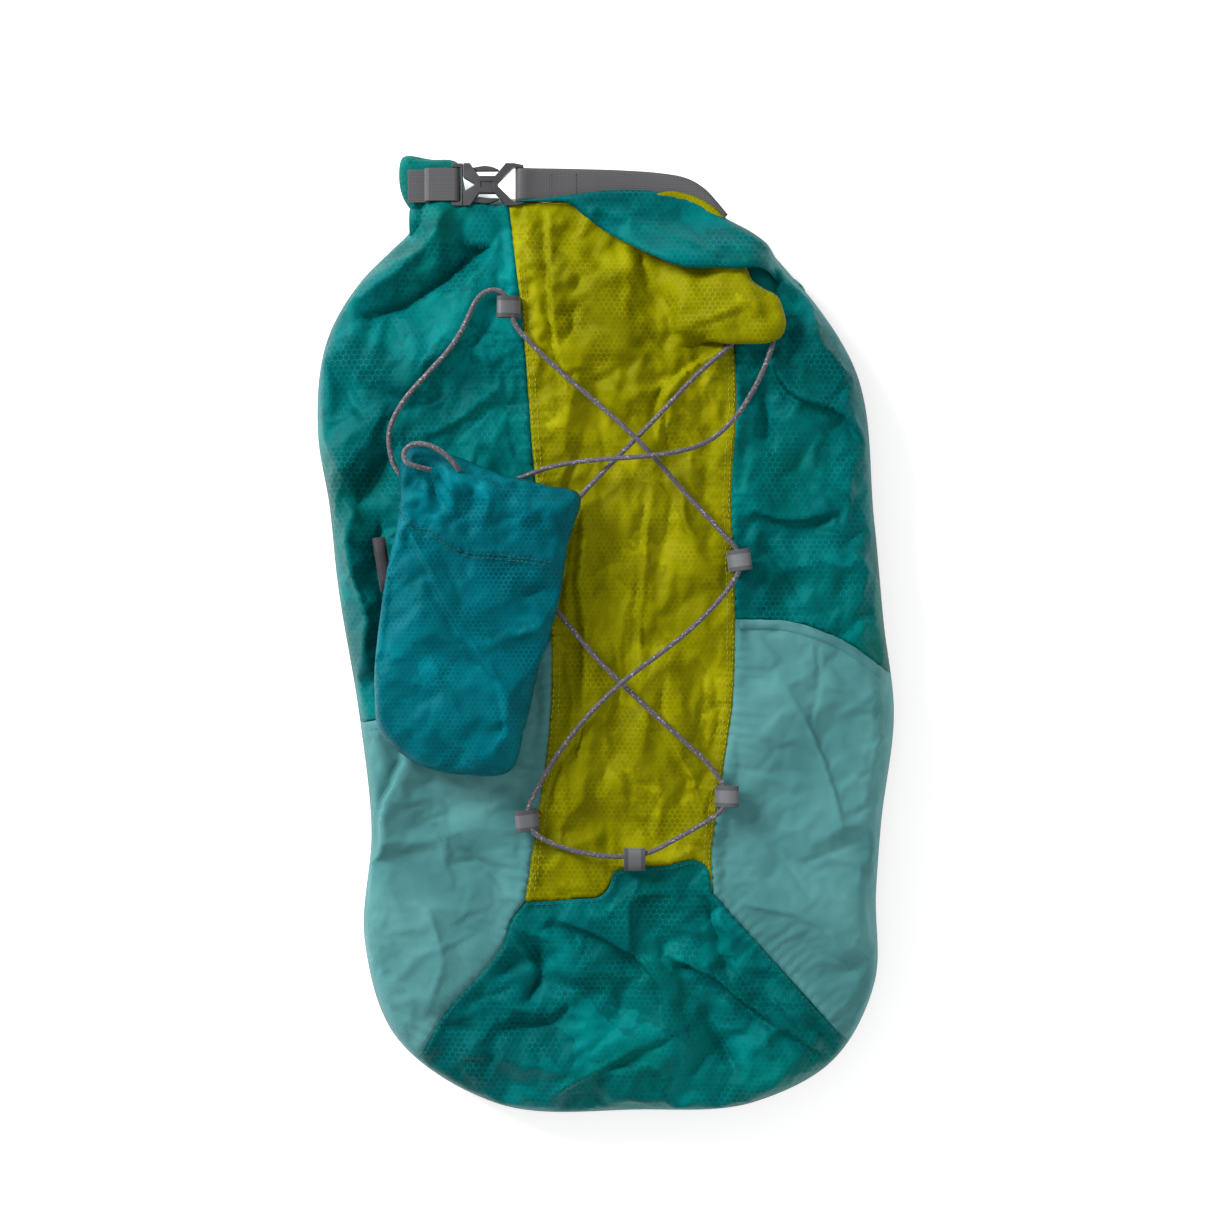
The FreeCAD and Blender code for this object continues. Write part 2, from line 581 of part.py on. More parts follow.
haul = new_body("haul_loop")
HAUL_OUTER = 20.0
HAUL_INNER = 12.0
HAUL_LEG = 12.0
add_pad(haul, "XY_Plane", [
    Part.LineSegment(V(-HAUL_OUTER, 0, 0), V(-HAUL_INNER, 0, 0)),
    Part.LineSegment(V(-HAUL_INNER, 0, 0), V(-HAUL_INNER, HAUL_LEG, 0)),
    Part.Arc(V(-HAUL_INNER, HAUL_LEG, 0), V(0, HAUL_LEG + HAUL_INNER, 0), V(HAUL_INNER, HAUL_LEG, 0)),
    Part.LineSegment(V(HAUL_INNER, HAUL_LEG, 0), V(HAUL_INNER, 0, 0)),
    Part.LineSegment(V(HAUL_INNER, 0, 0), V(HAUL_OUTER, 0, 0)),
    Part.LineSegment(V(HAUL_OUTER, 0, 0), V(HAUL_OUTER, HAUL_LEG, 0)),
    Part.Arc(V(HAUL_OUTER, HAUL_LEG, 0), V(0, HAUL_LEG + HAUL_OUTER, 0), V(-HAUL_OUTER, HAUL_LEG, 0)),
    Part.LineSegment(V(-HAUL_OUTER, HAUL_LEG, 0), V(-HAUL_OUTER, 0, 0)),
], "3", False)
keep(haul, at=(0, 196, 2.2))


# ---------------------------------------------------------------- check and write

doc.recompute()
for obj in doc.Objects:
    if {"Invalid", "Error"} & set(obj.State):
        raise RuntimeError(f"{obj.Label} is {obj.State}")
os.makedirs("parts", exist_ok=True)
for node in nodes:
    if node.Shape.isNull() or not node.Shape.isValid() or not node.Shape.Solids:
        raise RuntimeError(f"{node.Label} has no valid solid")
    node.Shape.exportStep(f"parts/{node.Label}.step")
    box = node.Shape.optimalBoundingBox(False)
    print(f"{node.Label}: {len(node.Shape.Solids)} solid(s), volume {node.Shape.Volume:.0f}, "
          f"x {box.XMin:.1f}..{box.XMax:.1f} y {box.YMin:.1f}..{box.YMax:.1f} "
          f"z {box.ZMin:.1f}..{box.ZMax:.1f}")
print(len(nodes), "nodes")
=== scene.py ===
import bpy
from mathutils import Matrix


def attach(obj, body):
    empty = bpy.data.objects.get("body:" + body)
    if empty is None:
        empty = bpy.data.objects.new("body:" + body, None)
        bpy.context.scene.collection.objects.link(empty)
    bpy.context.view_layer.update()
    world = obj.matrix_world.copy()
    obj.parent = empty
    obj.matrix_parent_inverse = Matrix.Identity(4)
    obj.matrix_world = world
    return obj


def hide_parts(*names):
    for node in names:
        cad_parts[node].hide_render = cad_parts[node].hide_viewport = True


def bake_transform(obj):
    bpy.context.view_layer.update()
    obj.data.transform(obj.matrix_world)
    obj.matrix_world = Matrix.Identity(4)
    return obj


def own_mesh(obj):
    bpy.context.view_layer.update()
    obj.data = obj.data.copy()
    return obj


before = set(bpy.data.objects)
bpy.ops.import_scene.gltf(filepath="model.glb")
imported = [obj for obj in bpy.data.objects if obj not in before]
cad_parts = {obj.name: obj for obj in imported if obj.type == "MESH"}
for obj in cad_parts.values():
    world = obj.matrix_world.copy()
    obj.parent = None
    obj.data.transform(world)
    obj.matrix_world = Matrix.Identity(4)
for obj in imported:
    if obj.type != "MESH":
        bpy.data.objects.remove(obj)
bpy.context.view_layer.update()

import math

import bmesh
import bpy
import numpy as np
from mathutils import Vector
from mathutils.bvhtree import BVHTree
from mathutils.geometry import delaunay_2d_cdt

MM = 0.001  # lengths below are in millimetres of the row frame unless they say otherwise

# ---------------------------------------------------------------- camera
bpy.context.scene.view_settings.view_transform = "Standard"
CAMERA_CENTRE = (0.0039, 0.0130)
CAMERA_HEIGHT = 1.80
camera = bpy.data.objects.new("camera", bpy.data.cameras.new("camera"))
bpy.context.scene.collection.objects.link(camera)
camera.location = (CAMERA_CENTRE[0], CAMERA_CENTRE[1], CAMERA_HEIGHT)
camera.data.sensor_width = 36
camera.data.lens = 85
bpy.context.scene.camera = camera

# ---------------------------------------------------------------- the object's lines
OUTLINE = [
    (-113, 265), (-121, 248), (-133, 236), (-150, 219), (-170, 187), (-178, 124),
    (-171, 80), (-166, 33), (-152, -53), (-145, -120), (-149, -190), (-132, -245),
    (-71, -288), (20, -293), (92, -288), (140, -262), (165, -215), (166, -160),
    (169, -118), (177, -45), (171, 5), (165, 69), (151, 168), (129, 203), (112, 223),
    (100, 236), (82, 248), (70, 258), (56, 265), (0, 268), (-60, 268),
]
LEFT_SEAM = [
    (-61, 275), (-57, 239), (-52, 200), (-48, 154), (-45, 112), (-38, 50),
    (-33.6, -3), (-34.5, -52), (-43, -118), (-49.4, -162.7),
]
RIGHT_SEAM = [
    (71, 275), (74, 220), (77, 180), (79, 142), (76, 94), (78, 9), (76.7, -40),
    (70, -88), (64, -131), (64, -156.6),
]
BOTTOM_EDGE = [
    (-49.4, -162.7), (-20, -160.5), (-2, -157.2), (2, -152), (5, -144.5),
    (12, -142.3), (35, -140.5), (58, -139), (61.5, -143), (63, -150), (64, -156.6),
]
LEFT_FOOT_SEAM = [
    (-49.4, -162.7), (-58, -174), (-61.5, -185), (-101, -234), (-116, -262), (-140, -310),
]
RIGHT_FOOT_SEAM = [(64, -156.6), (100, -196), (147.6, -249), (185, -290)]
LEFT_HEM = [(-200, -58), (-150, -54), (-115, -46), (-70, -25), (-33.6, -3)]
RIGHT_HEM = [(78, 9), (111, 7.6), (147.6, -6), (172, -23), (200, -36)]
HEM_WIDTH = 7
EDGE_LEVEL = 16        # where the front cloth meets the back cloth
TOP_OF_FRONT = 42.5    # the front's plateau, before its folds
COLLAR_LEVEL = 31

# The front's folds: points of the line, height, reach to each side and kind, as fold_height takes them.
FRONT_FOLDS = [
    ([(-37, 262), (-35.5, 228), (-33, 190), (-27, 151), (-24.5, 128)], 2.6, 9, "step"),
    ([(-19.5, 204), (-21.5, 186), (-31, 170)], 3, 7, "valley"),
    ([(43, 203), (44, 183), (52, 181), (87, 198)], 4, 9, "step"),
    ([(75, 178), (42, 155), (32.6, 141.5), (30.6, 112)], 4, 9, "step"),
    ([(20, 232), (24, 214), (36, 200), (44, 183)], 2.5, 8, "valley"),
    ([(-12, 226), (-4, 205), (10, 186), (4, 168)], 2.2, 10, "ridge"),
    (
        [(-18.5, 92), (-16, 60), (-18.5, 31), (-16, 7.6), (-14.4, -25.6), (-15.3, -67), (-21, -110)],
        3, 9, "step",
    ),
    ([(26.4, 99), (21.3, 41), (18, -9), (18.8, -40)], 2.2, 8, "step"),
    ([(60, 110), (46, 78), (52.8, 54), (62.8, 24)], 2.6, 9, "ridge"),
    ([(36.2, -20), (37, -58.8), (51.2, -92), (59.5, -124)], 3.2, 9, "step"),
    ([(-2, -20), (-12, -60), (-18.6, -84), (-23.6, -120)], 2.2, 9, "ridge"),
    ([(8, -60), (14, -96), (9, -130)], 2, 9, "valley"),
    ([(28, -70), (33, -100), (28, -132)], 2, 9, "ridge"),
    ([(-40, -150), (-18, -128), (6, -120)], 1.6, 8, "ridge"),
    ([(-75, 262), (-75.6, 242), (-93, 222), (-134, 197), (-157, 190)], 9, 13, "valley"),
    ([(-66, 262), (-68, 236), (-84, 214), (-110, 198)], 2.5, 8, "ridge"),
    ([(-98, 262), (-106, 244), (-126, 222), (-150, 208)], 3, 10, "ridge"),
    ([(-77.5, 197.5), (-104.5, 172.4), (-127.7, 141.5)], 2.6, 9, "ridge"),
    ([(-58, 215), (-74, 186), (-98, 162)], 2.4, 8, "valley"),
    ([(-129.7, 145.3), (-147, 120.3), (-168.4, 91.2)], 3.4, 9, "ridge"),
    ([(-122, 124), (-139.4, 97), (-160.6, 68)], 4, 10, "valley"),
    ([(-174, 172), (-158, 150), (-147, 128)], 2.4, 8, "valley"),
    ([(-150, 90), (-158, 50), (-148, 10), (-152, -30)], 3.5, 9, "ridge"),
    ([(-136, 80), (-140, 40), (-131, 0), (-136, -50)], 3.5, 8, "valley"),
    ([(-64, 152), (-92, 130), (-118, 118)], 2.2, 9, "ridge"),
    ([(104.6, 238), (104, 214), (103, 200)], 3, 8, "step"),
    ([(91.6, 172.5), (112, 146.6), (141.7, 132.7), (160, 112)], 4.5, 10, "step"),
    ([(93.5, 160), (97.3, 130), (95.4, 108)], 4.5, 9, "valley"),
    ([(120, 196), (138, 168), (157, 152)], 2.6, 10, "ridge"),
    ([(84.2, 74.2), (112, 68.7), (145.4, 76)], 3, 9, "step"),
    ([(89.8, 59.4), (112, 33.4), (119.5, 18)], 3, 9, "valley"),
    ([(145.4, 57.5), (156, 42), (170, 26)], 3, 8, "ridge"),
    ([(118, 108), (136, 92), (160, 84)], 2.2, 10, "ridge"),
    ([(-34.2, -172.4), (-4, -183.3), (17.7, -198.5), (30.6, -213.6), (34.8, -240)], 5, 10, "step"),
    ([(-51.6, -180), (-41, -205), (-51.6, -228)], 6, 9, "valley"),
    ([(-60, -176), (-50, -196), (-36, -214)], 3, 7, "ridge"),
    ([(34.8, -195.3), (61, -207), (87, -226.7), (134.6, -257)], 4.5, 9, "step"),
    ([(54.5, -218), (63, -239.7), (82.7, -272)], 4, 8, "valley"),
    ([(-36.4, -284), (6.9, -257), (52.4, -235.4)], 4, 10, "step"),
    ([(-73.2, -240), (-34.2, -235.4), (-16.9, -218)], 4, 9, "valley"),
    ([(14, -190), (18, -162), (34, -157)], 4, 8, "step"),
    ([(61, -157), (67.5, -190), (76, -212)], 4, 8, "valley"),
    ([(40, -292), (90, -282), (134.6, -267.6)], 3, 8, "ridge"),
    ([(-90, -250), (-40, -262), (10, -266)], 3, 12, "ridge"),
    ([(-119, -58), (-123, -75), (-136.6, -108.7), (-139, -140)], 6, 12, "step"),
    ([(-97, -142.3), (-79.7, -137.9), (-58, -160)], 3, 10, "valley"),
    ([(78.3, -161.6), (132.4, -179), (148, -205)], 2.4, 14, "ridge"),
    ([(100, -20), (128, -70), (146, -130)], 1.8, 20, "ridge"),
    ([(-110, -160), (-100, -200), (-112, -235)], 2.6, 18, "ridge"),
]

# The lacing from the cord lock round the seven loops and back: x, y and the rise over CORD_LEVEL.
LACING_ROUTE = [
    (-92.6, 88, 0), (-106, 88.2, 0), (-119, 91, 0), (-128, 100, 0), (-132, 114, 0),
    (-131, 127, 0), (-122, 143, 0), (-107, 159, 0), (-94, 173, 0), (-84.5, 189, 0),
    (-79, 203, 0), (-70.5, 209, 0), (-61.5, 206.5, 0), (-58.2, 198, 0), (-56.5, 188, 0),
    (-46, 176, 0), (-28.8, 159.5, 0), (-8, 142, 0.4), (11, 125, 5), (26, 110, 5),
    (41, 93, 0), (54, 78.5, 0), (69, 62.5, 0), (79, 52, 0), (82, 43, 0), (77.5, 33, 0),
    (68, 20, 0), (50.6, 2.7, 0), (32, -12, 0.4), (15, -24, 5), (0, -37, 5),
    (-15, -53, 0), (-31, -74, 0), (-42, -93, 0), (-47.5, -105, 0), (-48.5, -114, 0),
    (-42.5, -121.5, 0), (-31, -127.5, 0), (-11, -133, 0), (8, -134.5, 0), (25, -133, 0),
    (42, -123.5, 0), (60, -113.5, 0), (70, -106.5, 0), (74, -98, 0), (70, -89, 0),
    (60.5, -76.5, 0), (42, -60, 0), (22, -42, 0), (-4, -17, 0), (-19, 1, 0),
    (-33, 18, 0), (-42, 28, 0), (-45, 38, 0), (-41, 50, 0), (-30, 66, 0), (-14, 86, 0),
    (6, 106.5, 0), (32, 133, 0), (57, 160, 0), (75, 174, 0), (81, 184, 0),
    (82.5, 194, 0), (85, 202, 0), (91, 207, 0), (99, 206, 0), (103.5, 199.5, 0),
    (103.5, 189, 0), (99.5, 171, 0), (90, 149, 0), (77, 129, 0.5), (60, 114.5, 3),
    (37, 108.5, 9), (15, 106.6, 9), (-7, 105.3, 5), (-23, 103.6, 0), (-37, 100.6, 0),
    (-51, 95, 0), (-64, 90, 0), (-78, 88.4, 0), (-91.4, 88, 0),
]
CORD_LEVEL = 51
CORD_DIAMETER = 3
DRAW_CORD_ROUTE = [
    (-88, 98, 71), (-91, 103, 74), (-99, 110, 74.4), (-108, 114, 73.6),
    (-116.5, 114, 73), (-121.5, 109, 73.4), (-120, 103, 75), (-113, 100, 75.6),
    (-105, 98.5, 71),
]
SACK_OUTLINE = [
    (-118, 113), (-95, 108), (-64, 97), (-38, 90), (-17, 84), (-22, 60), (-31, 12),
    (-40, -20), (-50, -58), (-58, -81), (-84, -84), (-118, -74), (-136, -56),
    (-139, -36), (-134, 24), (-125, 72),
]
CHANNEL_LINE = [(-126, 86), (-118, 66), (-102, 59), (-88, 50), (-58, 46), (-26, 41)]
# Each tape loop's place, and the way its tape points in degrees.
CORD_LOOPS = {
    "loop_upper_left": (-52.4, 198, 180), "loop_upper_right": (76, 190, 0),
    "loop_middle_left": (-38.5, 38, 180), "loop_middle_right": (73.6, 44, 8),
    "loop_lower_left": (-41.5, -112, 186), "loop_lower_right": (66, -98, 0),
    "loop_bottom": (17, -143, 90),
}


# ---------------------------------------------------------------- shape helpers
def smooth_line(points, step=3.0, closed=False):
    """A curve through the points, as close points about step apart."""
    p = np.array(points, float)
    n = len(p)
    out = []
    for i in range(n if closed else n - 1):
        b, c = p[i], p[(i + 1) % n]
        a = p[i - 1] if closed or i > 0 else 2 * b - c
        d = p[(i + 2) % n] if closed or i + 2 < n else 2 * c - b
        ab, bc, cd = (np.linalg.norm(v) for v in (b - a, c - b, d - c))
        start = ((b - a) / ab * bc + (c - b) / bc * ab) / (ab + bc) * bc
        end = ((c - b) / bc * cd + (d - c) / cd * bc) / (bc + cd) * bc
        count = max(1, int(round(bc / step)))
        for t in np.arange(count) / count:
            out.append(
                (2 * t**3 - 3 * t**2 + 1) * b + (t**3 - 2 * t**2 + t) * start
                + (3 * t**2 - 2 * t**3) * c + (t**3 - t**2) * end
            )
    if not closed:
        out.append(p[-1])
    return np.array(out)


def line_field(x, y, line, closed=False):
    """Distance to the line, side of it (+1 on its left) and how far along it the nearest point is."""
    start = line
    end = np.roll(line, -1, axis=0)
    if not closed:
        start, end = start[:-1], end[:-1]
    run = end - start
    length = np.maximum(np.linalg.norm(run, axis=1), 1e-9)
    before = np.concatenate([[0], np.cumsum(length)[:-1]])
    distance, side, along = (np.zeros(len(x)) for _ in range(3))
    for low in range(0, len(x), 6000):
        px = x[low:low + 6000, None] - start[None, :, 0]
        py = y[low:low + 6000, None] - start[None, :, 1]
        t = np.clip((px * run[:, 0] + py * run[:, 1]) / length**2, 0, 1)
        gap = np.hypot(px - t * run[:, 0], py - t * run[:, 1])
        best = gap.argmin(axis=1)
        rows = np.arange(len(best))
        distance[low:low + 6000] = gap[rows, best]
        cross = run[best, 0] * py[rows, best] - run[best, 1] * px[rows, best]
        side[low:low + 6000] = np.where(cross >= 0, 1.0, -1.0)
        along[low:low + 6000] = before[best] + t[rows, best] * length[best]
    return distance, side, along


def inside(x, y, polygon):
    """Which points lie inside the closed polygon."""
    result = np.zeros(len(x), bool)
    ax, ay = polygon[:, 0], polygon[:, 1]
    bx, by = np.roll(ax, -1), np.roll(ay, -1)
    for i in range(len(polygon)):
        if ay[i] == by[i]:
            continue
        crosses = (ay[i] > y) != (by[i] > y)
        result ^= crosses & (x < (bx[i] - ax[i]) * (y - ay[i]) / (by[i] - ay[i]) + ax[i])
    return result


def smoothstep(low, high, value):
    """0 at low, 1 at high, with no corner between."""
    t = np.clip((value - low) / (high - low), 0, 1)
    return t * t * (3 - 2 * t)


def hashed(i, j, seed):
    """A repeatable number from -1 to 1 for each lattice point."""
    value = np.sin(i * 127.1 + j * 311.7 + seed * 74.7) * 43758.5453
    return 2 * (value - np.floor(value)) - 1


def facets(x, y, cell, seed):
    """Creased noise: straight facets between random heights on a warped triangular lattice."""
    u = x / cell + 0.34 * np.sin(y / cell * 1.9 + seed) + 0.2 * np.sin(y / cell * 4.1 + 2 * seed)
    v = y / cell + 0.34 * np.sin(x / cell * 1.7 + 3 * seed) + 0.2 * np.sin(x / cell * 3.7 + seed)
    b = v / 0.866
    a = u - 0.5 * b
    i, j = np.floor(a), np.floor(b)
    fa, fb = a - i, b - j
    low = hashed(i, j, seed) * (1 - fa - fb) + hashed(i + 1, j, seed) * fa + hashed(i, j + 1, seed) * fb
    high = (
        hashed(i + 1, j + 1, seed) * (fa + fb - 1)
        + hashed(i + 1, j, seed) * (1 - fb) + hashed(i, j + 1, seed) * (1 - fa)
    )
    return np.where(fa + fb < 1, low, high)


def crumple(x, y, cell, seed, angle=0.0, stretch=1.0):
    """Facets of three sizes, longer by stretch along the angle."""
    c, s = math.cos(math.radians(angle)), math.sin(math.radians(angle))
    u, v = (x * c + y * s) / stretch, -x * s + y * c
    return (
        facets(u, v, cell, seed) + 0.55 * facets(v, u, cell * 0.55, seed + 1)
        + 0.3 * facets(u, -v, cell * 0.3, seed + 2)
    )


def fold_height(x, y, folds):
    """Folds along lines: a ridge, a valley, or a step that stands up on the line's left side."""
    total = np.zeros(len(x))
    for points, height, reach, kind in folds:
        line = smooth_line(points, 4)
        near = (
            (x > line[:, 0].min() - 4 * reach) & (x < line[:, 0].max() + 4 * reach)
            & (y > line[:, 1].min() - 4 * reach) & (y < line[:, 1].max() + 4 * reach)
        )
        if not near.any():
            continue
        distance, side, along = line_field(x[near], y[near], line)
        end = np.sum(np.linalg.norm(np.diff(line, axis=0), axis=1))
        fade = smoothstep(-1, 16, along) * smoothstep(-1, 16, end - along)
        if kind == "step":
            signed = distance * side
            foot = -0.45 * np.exp(-distance / (0.5 * reach))
            shape = np.where(signed > 0, np.exp(-distance / reach), foot)
            blur = smoothstep(0, 1.8, distance)
            shape = shape * blur + 0.27 * (1 - blur)
        else:
            shape = np.exp(-distance / reach * 1.5) - 0.12 * np.exp(-((distance / reach - 2.2) ** 2))
            if kind == "valley":
                shape = -shape
        total[near] += height * shape * fade
    return total


def small_creases(x, y, area, seed, count, angle, spread, length, height):
    """Short sharp creases at seeded random places inside the area (low x, low y, high x, high y)."""
    random = np.random.default_rng(seed)
    total = np.zeros(len(x))
    for _ in range(count):
        cx, cy = random.uniform(area[0], area[2]), random.uniform(area[1], area[3])
        turn = math.radians(angle + random.normal(0, spread))
        half = length * random.uniform(0.4, 1.2) / 2
        bend = random.normal(0, 0.12) * half
        dx, dy = math.cos(turn), math.sin(turn)
        reach = random.uniform(2.6, 6.5)
        near = (np.abs(x - cx) < half + 20) & (np.abs(y - cy) < half + 20)
        if not near.any():
            continue
        u = (x[near] - cx) * dx + (y[near] - cy) * dy
        v = -(x[near] - cx) * dy + (y[near] - cy) * dx - bend * (u / half) ** 2
        along = np.clip(1 - np.abs(u) / half, 0, 1) ** 0.7
        over = np.maximum(np.abs(u) - half, 0)
        size = height * random.uniform(0.4, 1.0) * (1 if random.random() < 0.55 else -1)
        side = random.uniform(0.25, 1.0)
        left = np.exp(-np.abs(v) / reach)
        right = np.exp(-np.abs(v) / (reach * side))
        total[near] += size * along * np.exp(-over / 3) * np.where(v > 0, left, right)
    return total


def hex_points(low, high, spacing):
    """Points of a triangular lattice."""
    rows = np.arange(low[1], high[1], spacing * 0.866)
    points = []
    for k, y in enumerate(rows):
        x = np.arange(low[0] + (spacing / 2 if k % 2 else 0), high[0], spacing)
        points.append(np.stack([x, np.full(len(x), y)], axis=1))
    return np.concatenate(points)


def flat_mesh(outline, lines=(), spacing=3.0):
    """Points and triangles of the region inside the outline, with edges along it and along the lines."""
    points = hex_points(outline.min(axis=0), outline.max(axis=0), spacing)
    points = points[inside(points[:, 0], points[:, 1], outline)]
    for line, closed in [(outline, True)] + [(line, False) for line in lines]:
        gap = line_field(points[:, 0], points[:, 1], line, closed)[0]
        points = points[gap > 0.62 * spacing]
    fixed, edges = [], []
    for line, closed in [(outline, True)] + [(line, False) for line in lines]:
        first = len(points) + sum(len(f) for f in fixed)
        fixed.append(line)
        count = len(line)
        edges += [(first + k, first + (k + 1) % count) for k in range(count if closed else count - 1)]
    everything = np.concatenate([points] + fixed)
    result = delaunay_2d_cdt([Vector(p) for p in everything], edges, [], 0, 1e-4)
    vertices = np.array([v[:] for v in result[0]])
    faces = np.array([f for f in result[2] if len(f) == 3])
    middle = vertices[faces].mean(axis=1)
    faces = faces[inside(middle[:, 0], middle[:, 1], outline)]
    ax, ay = vertices[faces[:, 0]].T
    bx, by = vertices[faces[:, 1]].T
    cx, cy = vertices[faces[:, 2]].T
    turn = (bx - ax) * (cy - ay) - (by - ay) * (cx - ax)
    faces[turn < 0] = faces[turn < 0][:, ::-1]
    return vertices, faces


def new_object(name, vertices, faces, materials):
    """A smooth-shaded mesh object from vertices in millimetres, without those that no face uses."""
    mesh = bpy.data.meshes.new(name)
    used = np.unique(np.concatenate([np.asarray(f) for f in faces])) if len(faces) else []
    index = {int(old): new for new, old in enumerate(used)}
    mesh.from_pydata(
        [tuple(vertices[k] * MM) for k in used], [], [[index[int(k)] for k in f] for f in faces]
    )
    mesh.validate()
    for material in materials:
        mesh.materials.append(material)
    mesh.polygons.foreach_set("use_smooth", [True] * len(mesh.polygons))
    piece = bpy.data.objects.new(name, mesh)
    bpy.context.scene.collection.objects.link(piece)
    return piece


def thicken(piece, thickness, offset=-1):
    modifier = piece.modifiers.new("thickness", "SOLIDIFY")
    modifier.thickness = thickness * MM
    modifier.offset = offset


def vertices_of(mesh):
    """The mesh's vertices in millimetres."""
    vertices = np.empty(3 * len(mesh.vertices))
    mesh.vertices.foreach_get("co", vertices)
    return vertices.reshape(-1, 3) / MM


def tree_of(vertices, faces):
    return BVHTree.FromPolygons([tuple(v) for v in vertices], [tuple(int(k) for k in f) for f in faces])


def height_on(tree, x, y, default):
    """Height of the surface at x, y, looking down on it."""
    hit = tree.ray_cast(Vector((x, y, 200)), Vector((0, 0, -1)))[0]
    return default if hit is None else hit.z


def put(piece, body, slot, *nodes):
    """The piece rides on the body and stands for the CAD nodes, which are hidden; slot is not used."""
    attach(piece, body)
    if nodes:
        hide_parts(*nodes)


def grid_faces(rows, columns):
    """Quads of a sheet whose vertices are listed row by row."""
    return [
        (i * columns + j, (i + 1) * columns + j, (i + 1) * columns + j + 1, i * columns + j + 1)
        for i in range(rows - 1) for j in range(columns - 1)
    ]


def pillow(name, outline, top, bottom, edge, material, spacing=3.0, lines=()):
    """A closed soft form. top and bottom give heights from x, y and the distance in from the edge."""
    flat, faces = flat_mesh(outline, lines, spacing)
    x, y = flat.T
    distance = line_field(x, y, outline, True)[0]
    rim = distance < 1e-3
    high = np.where(rim, edge, top(x, y, distance))
    low = np.where(rim, edge, bottom(x, y, distance))
    count = len(flat)
    vertices = np.concatenate([np.column_stack([flat, high]), np.column_stack([flat, low])])
    under = faces[:, ::-1].copy()
    under = np.where(rim[under], under, under + count)
    return new_object(name, vertices, list(faces) + list(under), [material])


# ---------------------------------------------------------------- materials
def srgb(r, g, b):
    def linear(v):
        v /= 255
        return v / 12.92 if v <= 0.04045 else ((v + 0.055) / 1.055) ** 2.4
    return (linear(r), linear(g), linear(b), 1)


class Nodes:
    """Short names for building a node tree."""

    def __init__(self, name):
        self.material = bpy.data.materials.new(name)
        self.material.use_nodes = True
        self.tree = self.material.node_tree
        self.tree.nodes.clear()
        self.output = self.tree.nodes.new("ShaderNodeOutputMaterial")
        self.shader = self.tree.nodes.new("ShaderNodeBsdfPrincipled")
        self.link(self.shader.outputs[0], self.output.inputs[0])
        self.where = self.tree.nodes.new("ShaderNodeTexCoord").outputs["Object"]

    def link(self, a, b):
        self.tree.links.new(a, b)

    def feed(self, socket, value):
        if hasattr(value, "is_output"):
            self.link(value, socket)
        else:
            socket.default_value = value

    def math(self, operation, a, b=0.0, c=0.0):
        node = self.tree.nodes.new("ShaderNodeMath")
        node.operation = operation
        for socket, value in zip(node.inputs, (a, b, c)):
            self.feed(socket, value)
        return node.outputs[0]

    def noise(self, scale, detail=2.0, roughness=0.5, kind="FBM"):
        node = self.tree.nodes.new("ShaderNodeTexNoise")
        node.noise_type = kind
        self.link(self.where, node.inputs["Vector"])
        node.inputs["Scale"].default_value = scale
        node.inputs["Detail"].default_value = detail
        node.inputs["Roughness"].default_value = roughness
        return node.outputs["Fac"]

    def ramp(self, value, *stops):
        node = self.tree.nodes.new("ShaderNodeValToRGB")
        elements = node.color_ramp.elements
        while len(elements) < len(stops):
            elements.new(0.5)
        for element, (position, colour) in zip(elements, stops):
            element.position = position
            element.color = colour if hasattr(colour, "__len__") else (colour, colour, colour, 1)
        self.link(value, node.inputs[0])
        return node.outputs[0]

    def mix(self, factor, a, b):
        node = self.tree.nodes.new("ShaderNodeMix")
        node.data_type = "RGBA"
        self.feed(node.inputs["Factor"], factor)
        self.feed(node.inputs["A"], a)
        self.feed(node.inputs["B"], b)
        return node.outputs["Result"]

    def bump(self, height, distance, strength=1.0, normal=None):
        node = self.tree.nodes.new("ShaderNodeBump")
        node.inputs["Strength"].default_value = strength
        node.inputs["Distance"].default_value = distance * MM
        self.link(height, node.inputs["Height"])
        if normal is not None:
            self.link(normal, node.inputs["Normal"])
        return node.outputs[0]

    def axes(self):
        node = self.tree.nodes.new("ShaderNodeSeparateXYZ")
        self.link(self.where, node.inputs[0])
        return node.outputs

    def wave(self, value, pitch):
        """0 to 1 and back, every pitch millimetres."""
        turn = self.math("MULTIPLY", value, 2 * math.pi / (pitch * MM))
        return self.math("MULTIPLY_ADD", self.math("SINE", turn), 0.5, 0.5)

    def honeycomb(self, cell):
        """1 on the threads of a hexagonal ripstop of that cell width in millimetres, 0 in the cells."""
        x, y, _ = self.axes()
        u = self.math("DIVIDE", x, cell * MM)
        v = self.math("DIVIDE", y, cell * MM)
        root3 = math.sqrt(3)

        def from_centre(value, period, shift):
            moved = self.math("FLOORED_MODULO", self.math("ADD", value, shift), period)
            return self.math("ABSOLUTE", self.math("SUBTRACT", moved, period / 2))

        edges = []
        for shift_x, shift_y in ((0.0, 0.0), (0.5, root3 / 2)):
            a = from_centre(u, 1.0, shift_x)
            b = from_centre(v, root3, shift_y)
            slant = self.math("ADD", self.math("MULTIPLY", a, 0.5), self.math("MULTIPLY", b, root3 / 2))
            edges.append(self.math("MAXIMUM", a, slant))
        reach = self.math("MINIMUM", edges[0], edges[1])
        return self.ramp(reach, (0.0, 0.0), (0.40, 0.0), (0.47, 1.0))

    def finish(self, colour, roughness, normal=None, **constants):
        self.feed(self.shader.inputs["Base Color"], colour)
        self.feed(self.shader.inputs["Roughness"], roughness)
        if normal is not None:
            self.link(normal, self.shader.inputs["Normal"])
        for name, value in constants.items():
            self.shader.inputs[name.replace("_", " ")].default_value = value
        return self.material


